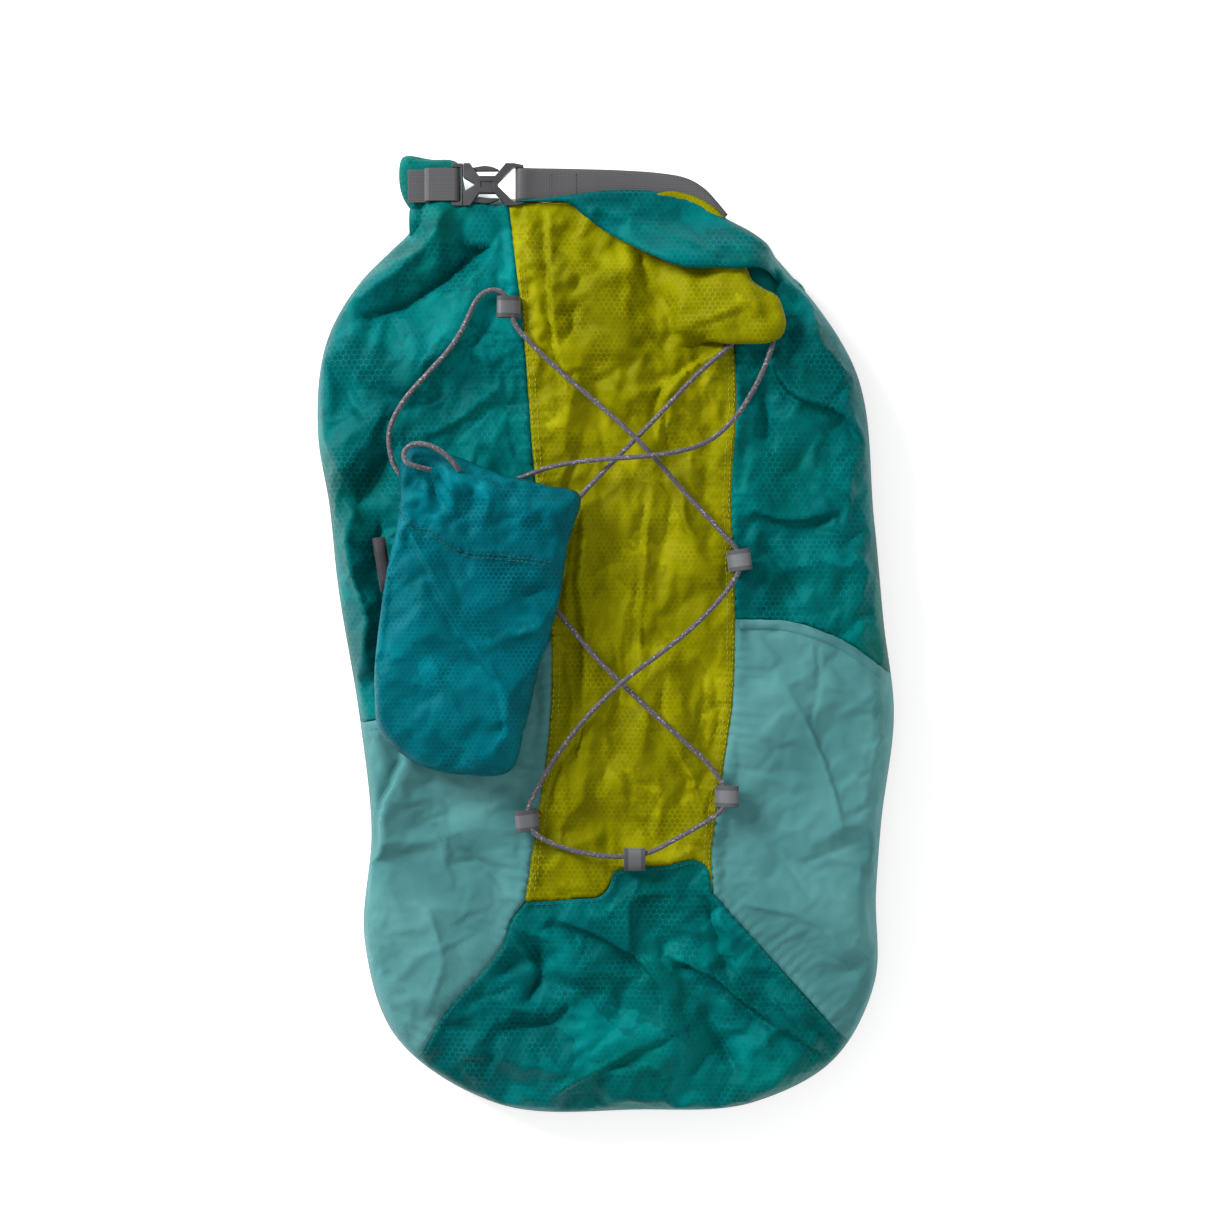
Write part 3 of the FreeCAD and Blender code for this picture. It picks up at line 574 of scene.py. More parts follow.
def nylon(name, dark, mid, light, shine, cell, under=None):
    """Coated ripstop: a cloudy tone, darker patches and a honeycomb of thread, whose threads carry a painted
    highlight.
    """
    n = Nodes(name)
    colour = n.ramp(n.noise(14, 4, 0.6), (0.30, dark), (0.50, mid), (0.74, light))
    if under is not None:
        colour = n.mix(n.ramp(n.noise(9, 3, 0.55), (0.50, 0.0), (0.66, 0.45)), colour, under)
    touching = n.ramp(n.noise(17, 6, 0.62), (0.53, 0.0), (0.55, 0.5), (0.62, 0.5))
    colour = n.mix(touching, colour, dark)
    comb = n.honeycomb(cell)
    speckle = n.ramp(n.noise(1300, 1, 0.5), (0.45, 0.0), (0.62, 1.0))
    patchy = n.ramp(n.noise(45, 3, 0.6), (0.42, 0.0), (0.62, 1.0))
    # The real honeycomb threads are lightened in patches toward the light tone: this lightening is a painted
    # highlight.
    painted_thread_highlight = n.math("MULTIPLY", comb, n.math("MULTIPLY_ADD", patchy, 0.7, 0.2))
    colour = n.mix(n.math("MULTIPLY", painted_thread_highlight, n.math("MULTIPLY_ADD", speckle, 0.55, 0.45)), colour, light)
    normal = n.bump(n.noise(26, 4, 0.55, "RIDGED_MULTIFRACTAL"), 1.1, 0.5)
    normal = n.bump(n.noise(420, 3, 0.6), 0.22, 0.35, normal)
    normal = n.bump(comb, 0.16, 0.5, normal)
    rough = n.math("MULTIPLY_ADD", n.noise(60, 3), 0.22, 0.42)
    return n.finish(colour, rough, normal, Specular_IOR_Level=0.2, Specular_Tint=shine)


def knit(name, dark, mid, light, pitch=1.5):
    """Stretch knit, matt, with a fine diagonal weave."""
    n = Nodes(name)
    x, y, _ = n.axes()
    diagonal = n.math("ADD", x, n.math("MULTIPLY", y, 0.8))
    across = n.math("SUBTRACT", n.math("MULTIPLY", y, 0.75), x)
    cross = n.math("MULTIPLY_ADD", n.wave(across, pitch * 1.6), 0.5, 0.5)
    weave = n.math("MULTIPLY", n.wave(diagonal, pitch), cross)
    cloud = n.noise(18, 4, 0.6)
    colour = n.ramp(cloud, (0.30, dark), (0.50, mid), (0.72, light))
    colour = n.mix(n.math("MULTIPLY", weave, 0.35), colour, light)
    colour = n.mix(n.math("MULTIPLY", n.math("SUBTRACT", 1.0, weave), 0.30), colour, dark)
    normal = n.bump(n.noise(60, 4, 0.6), 1.0, 0.35)
    normal = n.bump(weave, 0.25, 0.6, normal)
    rough = n.math("MULTIPLY_ADD", n.noise(80), 0.15, 0.68)
    return n.finish(
        colour, rough, normal, Sheen_Weight=0.06, Sheen_Roughness=0.5, Specular_IOR_Level=0.15,
    )


def webbing(name, dark, light, angle=0.0, rib=1.1, pick=1.7, gloss=0.5):
    """Woven tape: ribs along it and picks across it, for a tape that lies at the angle in plan."""
    n = Nodes(name)
    x, y, _ = n.axes()
    c, s = math.cos(math.radians(angle)), math.sin(math.radians(angle))
    along = n.math("ADD", n.math("MULTIPLY", x, c), n.math("MULTIPLY", y, s))
    across = n.math("SUBTRACT", n.math("MULTIPLY", y, c), n.math("MULTIPLY", x, s))
    ribs = n.wave(across, rib)
    shift = n.math("MULTIPLY", n.wave(across, rib * 2), pick * 0.5 * MM)
    picks = n.wave(n.math("ADD", along, shift), pick)
    weave = n.math("MULTIPLY_ADD", ribs, 0.6, n.math("MULTIPLY", picks, 0.4))
    colour = n.mix(weave, dark, light)
    colour = n.mix(n.math("MULTIPLY", n.noise(30, 4), 0.3), colour, dark)
    normal = n.bump(weave, 0.25, 0.55)
    rough = n.math("MULTIPLY_ADD", n.noise(200, 2), 0.2, gloss)
    return n.finish(colour, rough, normal, Sheen_Weight=0.15, Sheen_Roughness=0.5)


def plastic(name, colour, worn, gloss=0.38):
    n = Nodes(name)
    grain = n.noise(900, 3, 0.6)
    tint = n.mix(n.ramp(n.noise(40, 4), (0.4, 0.0), (0.7, 0.6)), colour, worn)
    rough = n.math("MULTIPLY_ADD", n.noise(120, 3), 0.2, gloss)
    return n.finish(tint, rough, n.bump(grain, 0.05, 0.4), Specular_IOR_Level=0.5)


def braid(name, dark, mid, fleck):
    n = Nodes(name)
    x, y, z = n.axes()
    first = n.wave(n.math("ADD", n.math("ADD", x, y), n.math("MULTIPLY", z, 0.7)), 1.5)
    second = n.wave(n.math("SUBTRACT", n.math("SUBTRACT", x, y), n.math("MULTIPLY", z, 0.7)), 1.5)
    strands = n.math("MAXIMUM", first, second)
    flecks = n.ramp(n.noise(750, 1), (0.60, 0.0), (0.68, 1.0))
    colour = n.mix(strands, dark, mid)
    colour = n.mix(n.math("MULTIPLY", flecks, 0.75), colour, fleck)
    normal = n.bump(strands, 0.3, 0.6)
    rough = n.math("MULTIPLY_ADD", n.noise(300), 0.2, 0.45)
    return n.finish(colour, rough, normal, Sheen_Weight=0.2, Sheen_Roughness=0.5)


LIME = nylon("lime_cloth", srgb(96, 96, 0), srgb(126, 125, 0), srgb(164, 160, 8), (0.8, 0.8, 0.12, 1), 3.2)
TEAL = nylon(
    "teal_cloth", srgb(0, 64, 66), srgb(0, 92, 93), srgb(0, 128, 128), (0.08, 0.75, 0.75, 1), 3.6,
    srgb(0, 90, 66),
)
SACK_TEAL = nylon(
    "sack_cloth", srgb(0, 68, 78), srgb(0, 92, 103), srgb(0, 128, 142), (0.08, 0.72, 0.8, 1), 3.0,
)
AQUA = knit("stretch_cloth", srgb(58, 116, 118), srgb(74, 134, 136), srgb(98, 158, 158))
AQUA_HEM = knit("stretch_hem", srgb(56, 112, 116), srgb(70, 130, 134), srgb(94, 152, 154), 1.2)
MESH = knit("spacer_mesh", srgb(38, 40, 44), srgb(58, 60, 64), srgb(88, 90, 94), 2.6)
GREY_WEB = webbing("grey_web", srgb(58, 57, 61), srgb(92, 92, 96))
SIDE_WEB = webbing("adjusting_web", srgb(66, 66, 70), srgb(102, 102, 106), 76)
TAPE_EDGE = webbing("tape_edge", srgb(54, 56, 60), srgb(84, 86, 90), 0, 0.7, 0.9)
TAPE_BAND = webbing("tape_band", srgb(84, 86, 90), srgb(116, 118, 121), 0, 0.7, 0.9, 0.36)
DARK_TAPE = webbing("dark_tape_cloth", srgb(22, 18, 26), srgb(48, 42, 52), 0, 0.8, 1.0)
GREY_PLASTIC = plastic("buckle_plastic", srgb(52, 51, 55), srgb(84, 84, 88))
BLACK_PLASTIC = plastic("lock_plastic", srgb(24, 24, 26), srgb(48, 48, 52))
STIFFENER = plastic("stiffener_plastic", srgb(170, 174, 176), srgb(205, 208, 210), 0.3)
CORD = braid("braid_cord", srgb(34, 31, 38), srgb(92, 86, 94), srgb(168, 165, 172))
LIME_THREAD = plastic("lime_thread", srgb(150, 148, 20), srgb(186, 182, 60), 0.55)
TEAL_THREAD = plastic("teal_thread", srgb(0, 74, 76), srgb(20, 120, 120), 0.55)
SPRING = Nodes("spring_wire")
SPRING = SPRING.finish(
    SPRING.ramp(SPRING.noise(300), (0.3, srgb(150, 150, 152)), (0.7, srgb(190, 190, 192))),
    SPRING.math("MULTIPLY_ADD", SPRING.noise(400), 0.2, 0.25), Metallic=1.0,
)

# ---------------------------------------------------------------- cords
def cord_piece(name, points):
    """A round cord through the control points."""
    curve = bpy.data.curves.new(name, "CURVE")
    curve.dimensions = "3D"
    spline = curve.splines.new("NURBS")
    spline.points.add(len(points) - 1)
    for point, (x, y, z) in zip(spline.points, points):
        point.co = (x * MM, y * MM, z * MM, 1)
    spline.order_u = 3
    spline.use_endpoint_u = True
    spline.resolution_u = 8
    curve.bevel_depth = CORD_DIAMETER / 2 * MM
    curve.bevel_resolution = 3
    curve.use_fill_caps = True
    curve.materials.append(CORD)
    piece = bpy.data.objects.new(name, curve)
    bpy.context.scene.collection.objects.link(piece)
    return piece


lacing = cord_piece("lacing_braid", [(x, y, CORD_LEVEL + rise) for x, y, rise in LACING_ROUTE])
put(lacing, "pack", "braided_cord", "lacing_cord")
draw_cord = cord_piece("sack_cord_braid", DRAW_CORD_ROUTE)
put(draw_cord, "stow_sack", "braided_cord", "sack_draw_cord")

# ---------------------------------------------------------------- front cloth
outline = smooth_line(OUTLINE, 3, True)


def clipped(points):
    """The points of the line that lie inside the outline and more than 1.2 mm from it."""
    line = smooth_line(points)
    keep = inside(line[:, 0], line[:, 1], outline)
    gap = line_field(line[:, 0], line[:, 1], outline, True)[0]
    return line[keep & (gap > 1.2)]


def side_of(line):
    """Unit vectors to the left of the line at its points."""
    tangent = np.gradient(line, axis=0)
    tangent /= np.linalg.norm(tangent, axis=1)[:, None]
    return np.column_stack([-tangent[:, 1], tangent[:, 0]])


def offset_line(line, distance):
    return line + distance * side_of(line)


def nearest(x, y, lines):
    """Distance to the nearest of the open lines."""
    return np.min([line_field(x, y, line)[0] for line in lines], axis=0)


left_seam, right_seam = clipped(LEFT_SEAM), clipped(RIGHT_SEAM)
bottom_edge = smooth_line(BOTTOM_EDGE, 2.5)
left_foot, right_foot = clipped(LEFT_FOOT_SEAM), clipped(RIGHT_FOOT_SEAM)
left_hem, right_hem = clipped(LEFT_HEM), clipped(RIGHT_HEM)
SIDE_SEAMS = (left_seam, right_seam, left_foot, right_foot)
SEAMS = (*SIDE_SEAMS, bottom_edge)
SPACING = 2.2
CENTRE, LEFT, RIGHT, FOOT, LEFT_POCKET, RIGHT_POCKET = range(6)


def region_of(x, y):
    """Which panel each point belongs to."""
    far = 400
    low_left, low_right = (-200, -far), (200, -far)
    areas = (
        (LEFT_POCKET, [smooth_line(LEFT_HEM), [(LEFT_HEM[-1][0], -far), low_left]], x < 0),
        (RIGHT_POCKET, [smooth_line(RIGHT_HEM), [low_right, (64, -far), *RIGHT_SEAM[-2:-5:-1]]], x > 0),
        (CENTRE, [smooth_line(LEFT_SEAM), bottom_edge[1:], smooth_line(RIGHT_SEAM)[::-1]], True),
        (FOOT, [
            smooth_line(LEFT_FOOT_SEAM)[::-1], bottom_edge[1:-1],
            smooth_line(RIGHT_FOOT_SEAM), [(185, -far), (-140, -far)],
        ], True),
    )
    area = np.where(x < 15, LEFT, RIGHT)
    for label, border, half in areas:
        area = np.where(inside(x, y, np.concatenate(border)) & half, label, area)
    return area


def front_height(x, y):
    """Height of the front cloth, before the simulation."""
    distance = line_field(x, y, outline, True)[0]
    top_gap = np.maximum(268 - y, 0)
    level = TOP_OF_FRONT + (COLLAR_LEVEL - TOP_OF_FRONT) * smoothstep(214, 250, y)
    side = 1 - np.exp(-distance / 5.5)
    steep = (1 - np.exp(-distance / 3)) * smoothstep(236, 250, y)
    side = np.where(y > 236, np.maximum(side, steep), side)
    rise = side * (1 - np.exp(-top_gap / 1.5) * smoothstep(250, 262, y))
    area = region_of(x, y)
    loose = smoothstep(0, 14, distance)
    calm = smoothstep(0, 9, nearest(x, y, (*SEAMS, left_hem, right_hem)))
    lime = crumple(x, y, 20, 3, 84, 3.6) * 3.2 + crumple(x, y, 21, 9) * 3.2 * smoothstep(90, 170, y)
    teal = crumple(x, y, 30, 5, 60, 1.7) * 4.0
    foot = crumple(x, y, 28, 8, 20, 1.4) * 5.2
    pocket = crumple(x, y, 70, 12) * 1.6
    lime += small_creases(x, y, (-55, -160, 80, 262), 11, 70, 84, 22, 42, 2.2)
    lime += small_creases(x, y, (-45, 110, 80, 255), 12, 34, 30, 60, 26, 2.4)
    teal += small_creases(x, y, (-175, -60, -35, 250), 13, 70, 55, 35, 38, 2.4)
    teal += small_creases(x, y, (65, 0, 175, 240), 14, 60, 120, 45, 34, 2.4)
    foot += small_creases(x, y, (-120, -292, 150, -150), 15, 80, 25, 60, 36, 3.2)
    pocket += small_creases(x, y, (-150, -260, 170, -10), 16, 24, 60, 40, 60, 0.9)
    cloth = np.select([area == CENTRE, area == FOOT, area >= LEFT_POCKET], [lime, foot, pocket], teal)
    cloth = cloth * loose * calm
    pucker = np.zeros(len(x))
    for line, pitch in ((left_seam, 7), (right_seam, 6), (left_foot, 6), (right_foot, 6)):
        gap, _, along = line_field(x, y, line)
        phase = 1.3 * np.sin(along / 23) + 0.8 * np.sin(along / 11)
        pucker += 0.6 * np.sin(along / pitch * 2 * math.pi + phase) * np.exp(-gap / 5)
        pucker += 0.7 * np.exp(-(((gap - 2.6) / 2.2) ** 2))
    folds = 2.0 * fold_height(x, y, FRONT_FOLDS)
    fade = smoothstep(1, 12, distance)
    height = EDGE_LEVEL + (level - EDGE_LEVEL) * rise + (cloth + folds * fade + pucker * fade)
    height = np.where(y > 238, np.maximum(height, EDGE_LEVEL + (29.5 - EDGE_LEVEL) * rise), height)
    return np.where(height > 46.2, 46.2 + 2 * np.tanh((height - 46.2) / 2), height)


cuts = [
    np.concatenate([left_seam, bottom_edge[1:]]), right_seam, left_foot[1:], right_foot[1:],
    left_hem[:-1], right_hem[1:],
]
flat, triangles = flat_mesh(outline, cuts, SPACING)
fx, fy = flat.T
front = np.column_stack([flat, front_height(fx, fy)])
rim = line_field(fx, fy, outline, True)[0] < 1e-3
front[rim, 2] = EDGE_LEVEL


def simulate(vertices, faces, pinned, frames, cap, pressure=0.0):
    """Cloth simulation of a sheet that is cut 3 % too large, so that it buckles. Returns the new vertices."""
    sheet = new_object("sim_sheet", vertices, faces, [])
    used = np.unique(faces)
    group = sheet.vertex_groups.new(name="pin")
    for new, old in enumerate(used):
        if pinned[old] > 0:
            group.add([new], float(pinned[old]), "REPLACE")
    cloth = sheet.modifiers.new("cloth", "CLOTH")
    settings = cloth.settings
    settings.quality = 5
    settings.mass = 0.15
    settings.tension_stiffness = 15
    settings.compression_stiffness = 15
    settings.shear_stiffness = 5
    settings.bending_stiffness = 0.02
    settings.air_damping = 2
    settings.vertex_group_mass = "pin"
    settings.shrink_min = -0.03
    settings.effector_weights.gravity = 0
    settings.use_pressure = pressure != 0
    settings.uniform_pressure_force = pressure
    cloth.collision_settings.use_collision = False
    cloth.point_cache.frame_start = 1
    cloth.point_cache.frame_end = frames
    for k in range(1, frames + 1):
        bpy.context.scene.frame_set(k)
    evaluated = sheet.evaluated_get(bpy.context.evaluated_depsgraph_get())
    moved = vertices_of(evaluated.to_mesh())
    step = moved - vertices[used]
    size = np.linalg.norm(step, axis=1)
    step *= np.where(size > cap, cap / np.maximum(size, 1e-9), 1)[:, None]
    result = vertices.copy()
    result[used] = vertices[used] + step
    evaluated.to_mesh_clear()
    bpy.data.objects.remove(sheet)
    bpy.context.scene.frame_set(1)
    return result


edge_gap = line_field(fx, fy, outline, True)[0]
pins = np.where(edge_gap < 1.5, 1.0, 0.0)
pins = np.maximum(pins, np.where(nearest(fx, fy, SEAMS) < 1.0, 0.9, 0.0))
pins = np.maximum(pins, np.where(nearest(fx, fy, (left_hem, right_hem)) < 1.0, 0.8, 0.0))
middle = flat[triangles].mean(axis=1)
panel_of = region_of(middle[:, 0], middle[:, 1])
relaxed = simulate(front, triangles, pins, 14, 4.0)
bend = np.where(region_of(fx, fy) >= LEFT_POCKET, 47.8, 47.7)  # above this, peaks are rounded off
over = relaxed[:, 2] - bend
relaxed[:, 2] = np.where(over > 0, bend + 1.5 * np.tanh(over / 1.5), relaxed[:, 2])
front += (relaxed - front) * smoothstep(0, 8, edge_gap)[:, None]
front_tree = tree_of(front, triangles)


def bend_with_roll(piece, slot, *nodes):
    """The piece's placement is baked into its mesh and the CAD nodes it stands for are hidden; slot is not
    used.
    """
    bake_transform(piece)
    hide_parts(*nodes)


bottom_lift = 1.2 * np.exp(-nearest(fx, fy, [bottom_edge]) / 12)
pocket_lift = 1.3 * smoothstep(0, 6, np.minimum(nearest(fx, fy, SIDE_SEAMS), edge_gap))
for area, name, material, slot, node, lift in (
    (CENTRE, "front_centre_cloth", LIME, "lime_nylon", "front_centre_panel", 0),
    (LEFT, "front_left_cloth", TEAL, "teal_nylon", "front_left_panel", 0),
    (RIGHT, "front_right_cloth", TEAL, "teal_nylon", "front_right_panel", 0),
    (FOOT, "bottom_cloth", TEAL, "teal_nylon", "bottom_panel", bottom_lift),
    (LEFT_POCKET, "left_pocket_cloth", AQUA, "aqua_stretch", "left_stretch_pocket", pocket_lift),
    (RIGHT_POCKET, "right_pocket_cloth", AQUA, "aqua_stretch", "right_stretch_pocket", pocket_lift),
):
    lifted = front.copy()
    lifted[:, 2] += lift
    panel = new_object(name, lifted, list(triangles[panel_of == area]), [material])
    thicken(panel, 0.5)
    if area in (CENTRE, LEFT, RIGHT):
        bend_with_roll(panel, slot, node)
    else:
        put(panel, "pack", slot, node)


def surface(x, y):
    return height_on(front_tree, x, y, 46.0)


def ribbon(name, line, width, lift, material, thickness=0.7, height=surface):
    """A flat band lying on the cloth along a line."""
    columns = 6
    vertices = []
    for p, n in zip(line, side_of(line)):
        for a in np.linspace(-0.5, 0.5, columns):
            x, y = p + n * a * width
            vertices.append((x, y, height(x, y) + lift * (1 - (2 * a) ** 4)))
    piece = new_object(name, np.array(vertices), grid_faces(len(line), columns), [material])
    thicken(piece, thickness)
    return piece


for side, hem in (("left", left_hem), ("right", right_hem)):
    band = offset_line(hem, -HEM_WIDTH / 2)[1:-1]
    piece = ribbon(side + "_hem_band", band, HEM_WIDTH, 2.1, AQUA_HEM)
    put(piece, "pack", "aqua_binding", side + "_pocket_hem")


# ---------------------------------------------------------------- stitches
# A stitch's sections: place along it, half width and rise at its middle, as shares of its size.
STITCH_SECTIONS = ((-0.5, 0.35, -0.15), (-0.25, 0.5, 0.25), (0.25, 0.5, 0.25), (0.5, 0.35, -0.15))


def stitches(name, rows, material, body, slot, size, lift=0.25, jitter=0.25, height=surface):
    """Rows of thread beads lying on the cloth. size is their pitch, length and width."""
    pitch, length, width = size
    random = np.random.default_rng(7)
    vertices, faces = [], []
    for line in rows:
        run = np.concatenate([[0], np.cumsum(np.linalg.norm(np.diff(line, axis=0), axis=1))])
        for at in np.arange(pitch, run[-1] - pitch, pitch):
            p, q = (np.array([np.interp(t, run, line[:, k]) for k in (0, 1)]) for t in (at, at + 0.5))
            d = (q - p) / max(np.linalg.norm(q - p), 1e-9)
            side = np.array([-d[1], d[0]])
            p = p + side * random.normal(0, jitter)
            z = height(p[0], p[1]) + lift
            first = len(vertices)
            for along, wide, rise in STITCH_SECTIONS:
                c = p + d * along * length
                for edge in (c - side * wide * width, c + side * wide * width):
                    vertices.append((edge[0], edge[1], z - 0.1))
                vertices.append((c[0], c[1], z + rise))
            for a in (first, first + 3, first + 6):
                b = a + 3
                faces += [(a, a + 2, b + 2, b), (a + 2, a + 1, b + 1, b + 2)]
    put(new_object(name, np.array(vertices), faces, [material]), body, slot)


def between(line, low, high):
    return line[(line[:, 1] > low) & (line[:, 1] < high)]


left_run, right_run = between(left_seam, -160, 226), between(right_seam, -154, 172)
lime_rows = [offset_line(left_run, d) for d in (1.4, 4.6)] + [offset_line(right_run, -d) for d in (1.4, 4.6)]
stitches("seam_thread_lime", lime_rows, LIME_THREAD, "pack", "lime_nylon", (3.2, 2.1, 0.55))
teal_rows = [offset_line(left_foot[2:], 1.8), offset_line(right_foot[2:], -1.8)]
teal_rows.append(offset_line(bottom_edge[2:-3], -2))
stitches("seam_thread_teal", teal_rows, TEAL_THREAD, "pack", "teal_nylon", (3.0, 1.9, 0.5), 1.2, 0.12)

# ---------------------------------------------------------------- back cloth
back_flat, back_faces = flat_mesh(outline, [], 5.0)
bx, by = back_flat.T
back_gap = line_field(bx, by, outline, True)[0]
back_height = EDGE_LEVEL - 9.5 * (1 - np.exp(-back_gap / 5))
back_height += 0.35 * crumple(bx, by, 40, 21) * smoothstep(0, 12, back_gap)
back_height[back_gap < 1e-3] = EDGE_LEVEL
back = new_object("back_cloth", np.column_stack([back_flat, back_height]), list(back_faces[:, ::-1]), [MESH])
thicken(back, 0.5)
bend_with_roll(back, "back_mesh", "back_panel")

# ---------------------------------------------------------------- shoulder fold and lime fold
FOLD_OUTLINE = [
    (-56, 264.5), (-38, 264.5), (-24, 263.5), (-13, 255), (-3, 247.5), (8, 240.5), (19, 234), (31, 227.5),
    (42, 222.5), (54, 220.6), (67, 221), (80, 220.4), (91, 221.5), (99, 219), (106, 211), (114, 206),
    (124, 205), (122, 212), (111.5, 222.5), (100, 235.5), (88, 244.5), (75, 252.5), (67, 257.4),
    (57, 264), (50, 267), (34, 270), (8, 271.5), (-18, 269), (-36, 266.5),
]
LOBE_OUTLINE = [
    (14, 215), (30, 226), (60, 226), (84.2, 222.5), (88, 214), (95, 208.5), (102.7, 204.4), (106.5, 196),
    (108.2, 186.5), (105, 179), (99, 176.2), (86, 175.2), (71.2, 175.4), (60, 177), (46, 172),
    (30, 176), (16, 190),
]


def overlay(name, points, height, merging, material, drop):
    """A sheet over the front cloth: its edge dips under that cloth where merging is 1, or turns down."""
    line = smooth_line(points, 2.2, True)
    sheet, faces = flat_mesh(line, [], 2.2)
    x, y = sheet.T
    d = line_field(x, y, line, True)[0]
    base = np.array([height_on(front_tree, *point, 20.0) for point in sheet])
    merge = merging(x, y)
    z = height(x, y, d, base) - (1 - merge) * drop * np.exp(-d / 2)
    t = np.exp(-((d / 7) ** 1.5)) * merge
    z = z * (1 - t) + (base - 1.6) * t
    piece = new_object(name, np.column_stack([sheet, z]), list(faces), [material])
    thicken(piece, 0.6)
    return piece


def lobe_height(x, y, d, base):
    """The lime fold rises out of the centre panel and bulges over the right seam."""
    out = smoothstep(26, 72, x)
    creases = fold_height(x, y, [
        ([(40, 182), (62, 189), (90, 200)], 3.4, 6, "step"),
        ([(72, 176), (80, 188), (90, 200)], 2.4, 5, "valley"),
        ([(84, 220), (86, 208), (97, 184)], 2.6, 5, "ridge"),
        ([(90, 199), (99, 192), (107, 190)], 2.0, 4, "valley"),
        ([(50, 214), (66, 202), (86, 203)], 2.0, 7, "valley"),
        ([(34, 206), (50, 198), (62, 189)], 2.4, 6, "ridge"),
    ])
    level = 57.5 - 5 * smoothstep(207, 223, y)
    z = base * (1 - out) + level * out
    z += (creases + crumple(x, y, 13, 31)) * smoothstep(0, 6, d) * (0.4 + 0.6 * out)
    return np.where((x > 72) & (y < 209), np.maximum(z, 56), z)


def lobe_merging(x, y):
    return 1 - smoothstep(52, 68, x)


lobe = overlay("lime_fold_cloth", LOBE_OUTLINE, lobe_height, lobe_merging, LIME, 2.6)
put(lobe, "pack", "lime_nylon", "lime_gusset_fold")


def fold_level(x, y, d, base):
    """The shoulder's fold comes down from over the roll and lies on the lime fold."""
    z = 59 - 25 * smoothstep(224, 260, y)
    creases = fold_height(x, y, [
        ([(-36, 264), (4, 254), (40, 240), (72, 226)], 2.6, 7, "step"),
        ([(28, 266), (50, 250), (62, 236), (66, 226)], 3.0, 7, "valley"),
        ([(62, 262), (76, 246), (98, 232), (108, 214)], 2.6, 8, "step"),
        ([(-8, 264), (18, 258), (40, 252)], 2.2, 6, "valley"),
        ([(60, 234), (80, 230), (98, 230)], 2.2, 5, "valley"),
    ])
    right = smoothstep(84, 112, x)
    left = smoothstep(44, -16, x)
    z = z * (1 - right) + (np.maximum(base, 30) + 2.5) * right
    z = z * (1 - left) + (np.maximum(base, 30) + 4) * left
    z = np.maximum(z, np.where(y > 250, 34.6, base + 1.6))
    creases += 1.2 * crumple(x, y, 20, 41, -25, 2.2)
    creases += small_creases(x, y, (-30, 218, 110, 268), 19, 26, -25, 30, 30, 1.6)
    z += creases * smoothstep(0, 6, d) * (0.35 + 0.65 * smoothstep(262, 244, y))
    return np.maximum(z, np.maximum(base + 1.4, np.where(y > 244, 34.2, 0)))


def fold_merging(x, y):
    return smoothstep(97, 107, x)


shoulder = overlay("shoulder_fold_cloth", FOLD_OUTLINE, fold_level, fold_merging, TEAL, 2.2)
bend_with_roll(shoulder, "teal_nylon", "right_shoulder_fold")


# ---------------------------------------------------------------- lacing loops
def tape_loop(name, x, y, angle):
    """A flat tape folded round the cord: its section runs out under the cord, round it and back."""
    out, width = 10.9, 13.0
    base = surface(x, y)
    section = [(0.2, base + 0.4), (4.0, 48.7), (out - 2, 48.7)]
    for step in range(9):
        turn = math.radians(-90 + 22.5 * step)
        section.append((out + 2.55 * math.cos(turn), CORD_LEVEL + 2.55 * math.sin(turn)))
    section += [(out - 3, 53.3), (4.0, 51.6), (1.2, 50.2), (0.0, base + 1.6)]
    c, s = math.cos(math.radians(angle)), math.sin(math.radians(angle))
    half = (0.15, 0.29, 0.30, 0.38, 0.46, 0.5)
    columns = np.array([*(-c for c in half[::-1]), 0.0, *half]) * width
    vertices, faces, bands = [], [], []
    for u, z in section:
        for w in columns:
            vertices.append((x + u * c - w * s, y + u * s + w * c, z))
    k = len(columns)
    for i in range(len(section) - 1):
        for j in range(k - 1):
            faces.append((i * k + j, i * k + j + 1, (i + 1) * k + j + 1, (i + 1) * k + j))
            bands.append(1 if 4 <= j <= 7 else 0)
    piece = new_object(name + "_tape", np.array(vertices), faces, [TAPE_EDGE, TAPE_BAND])
    piece.data.polygons.foreach_set("material_index", bands)
    thicken(piece, 0.9, 0)
    put(piece, "pack", "reflective_tape", name)


for loop, (x, y, angle) in CORD_LOOPS.items():
    tape_loop(loop, x, y, angle)

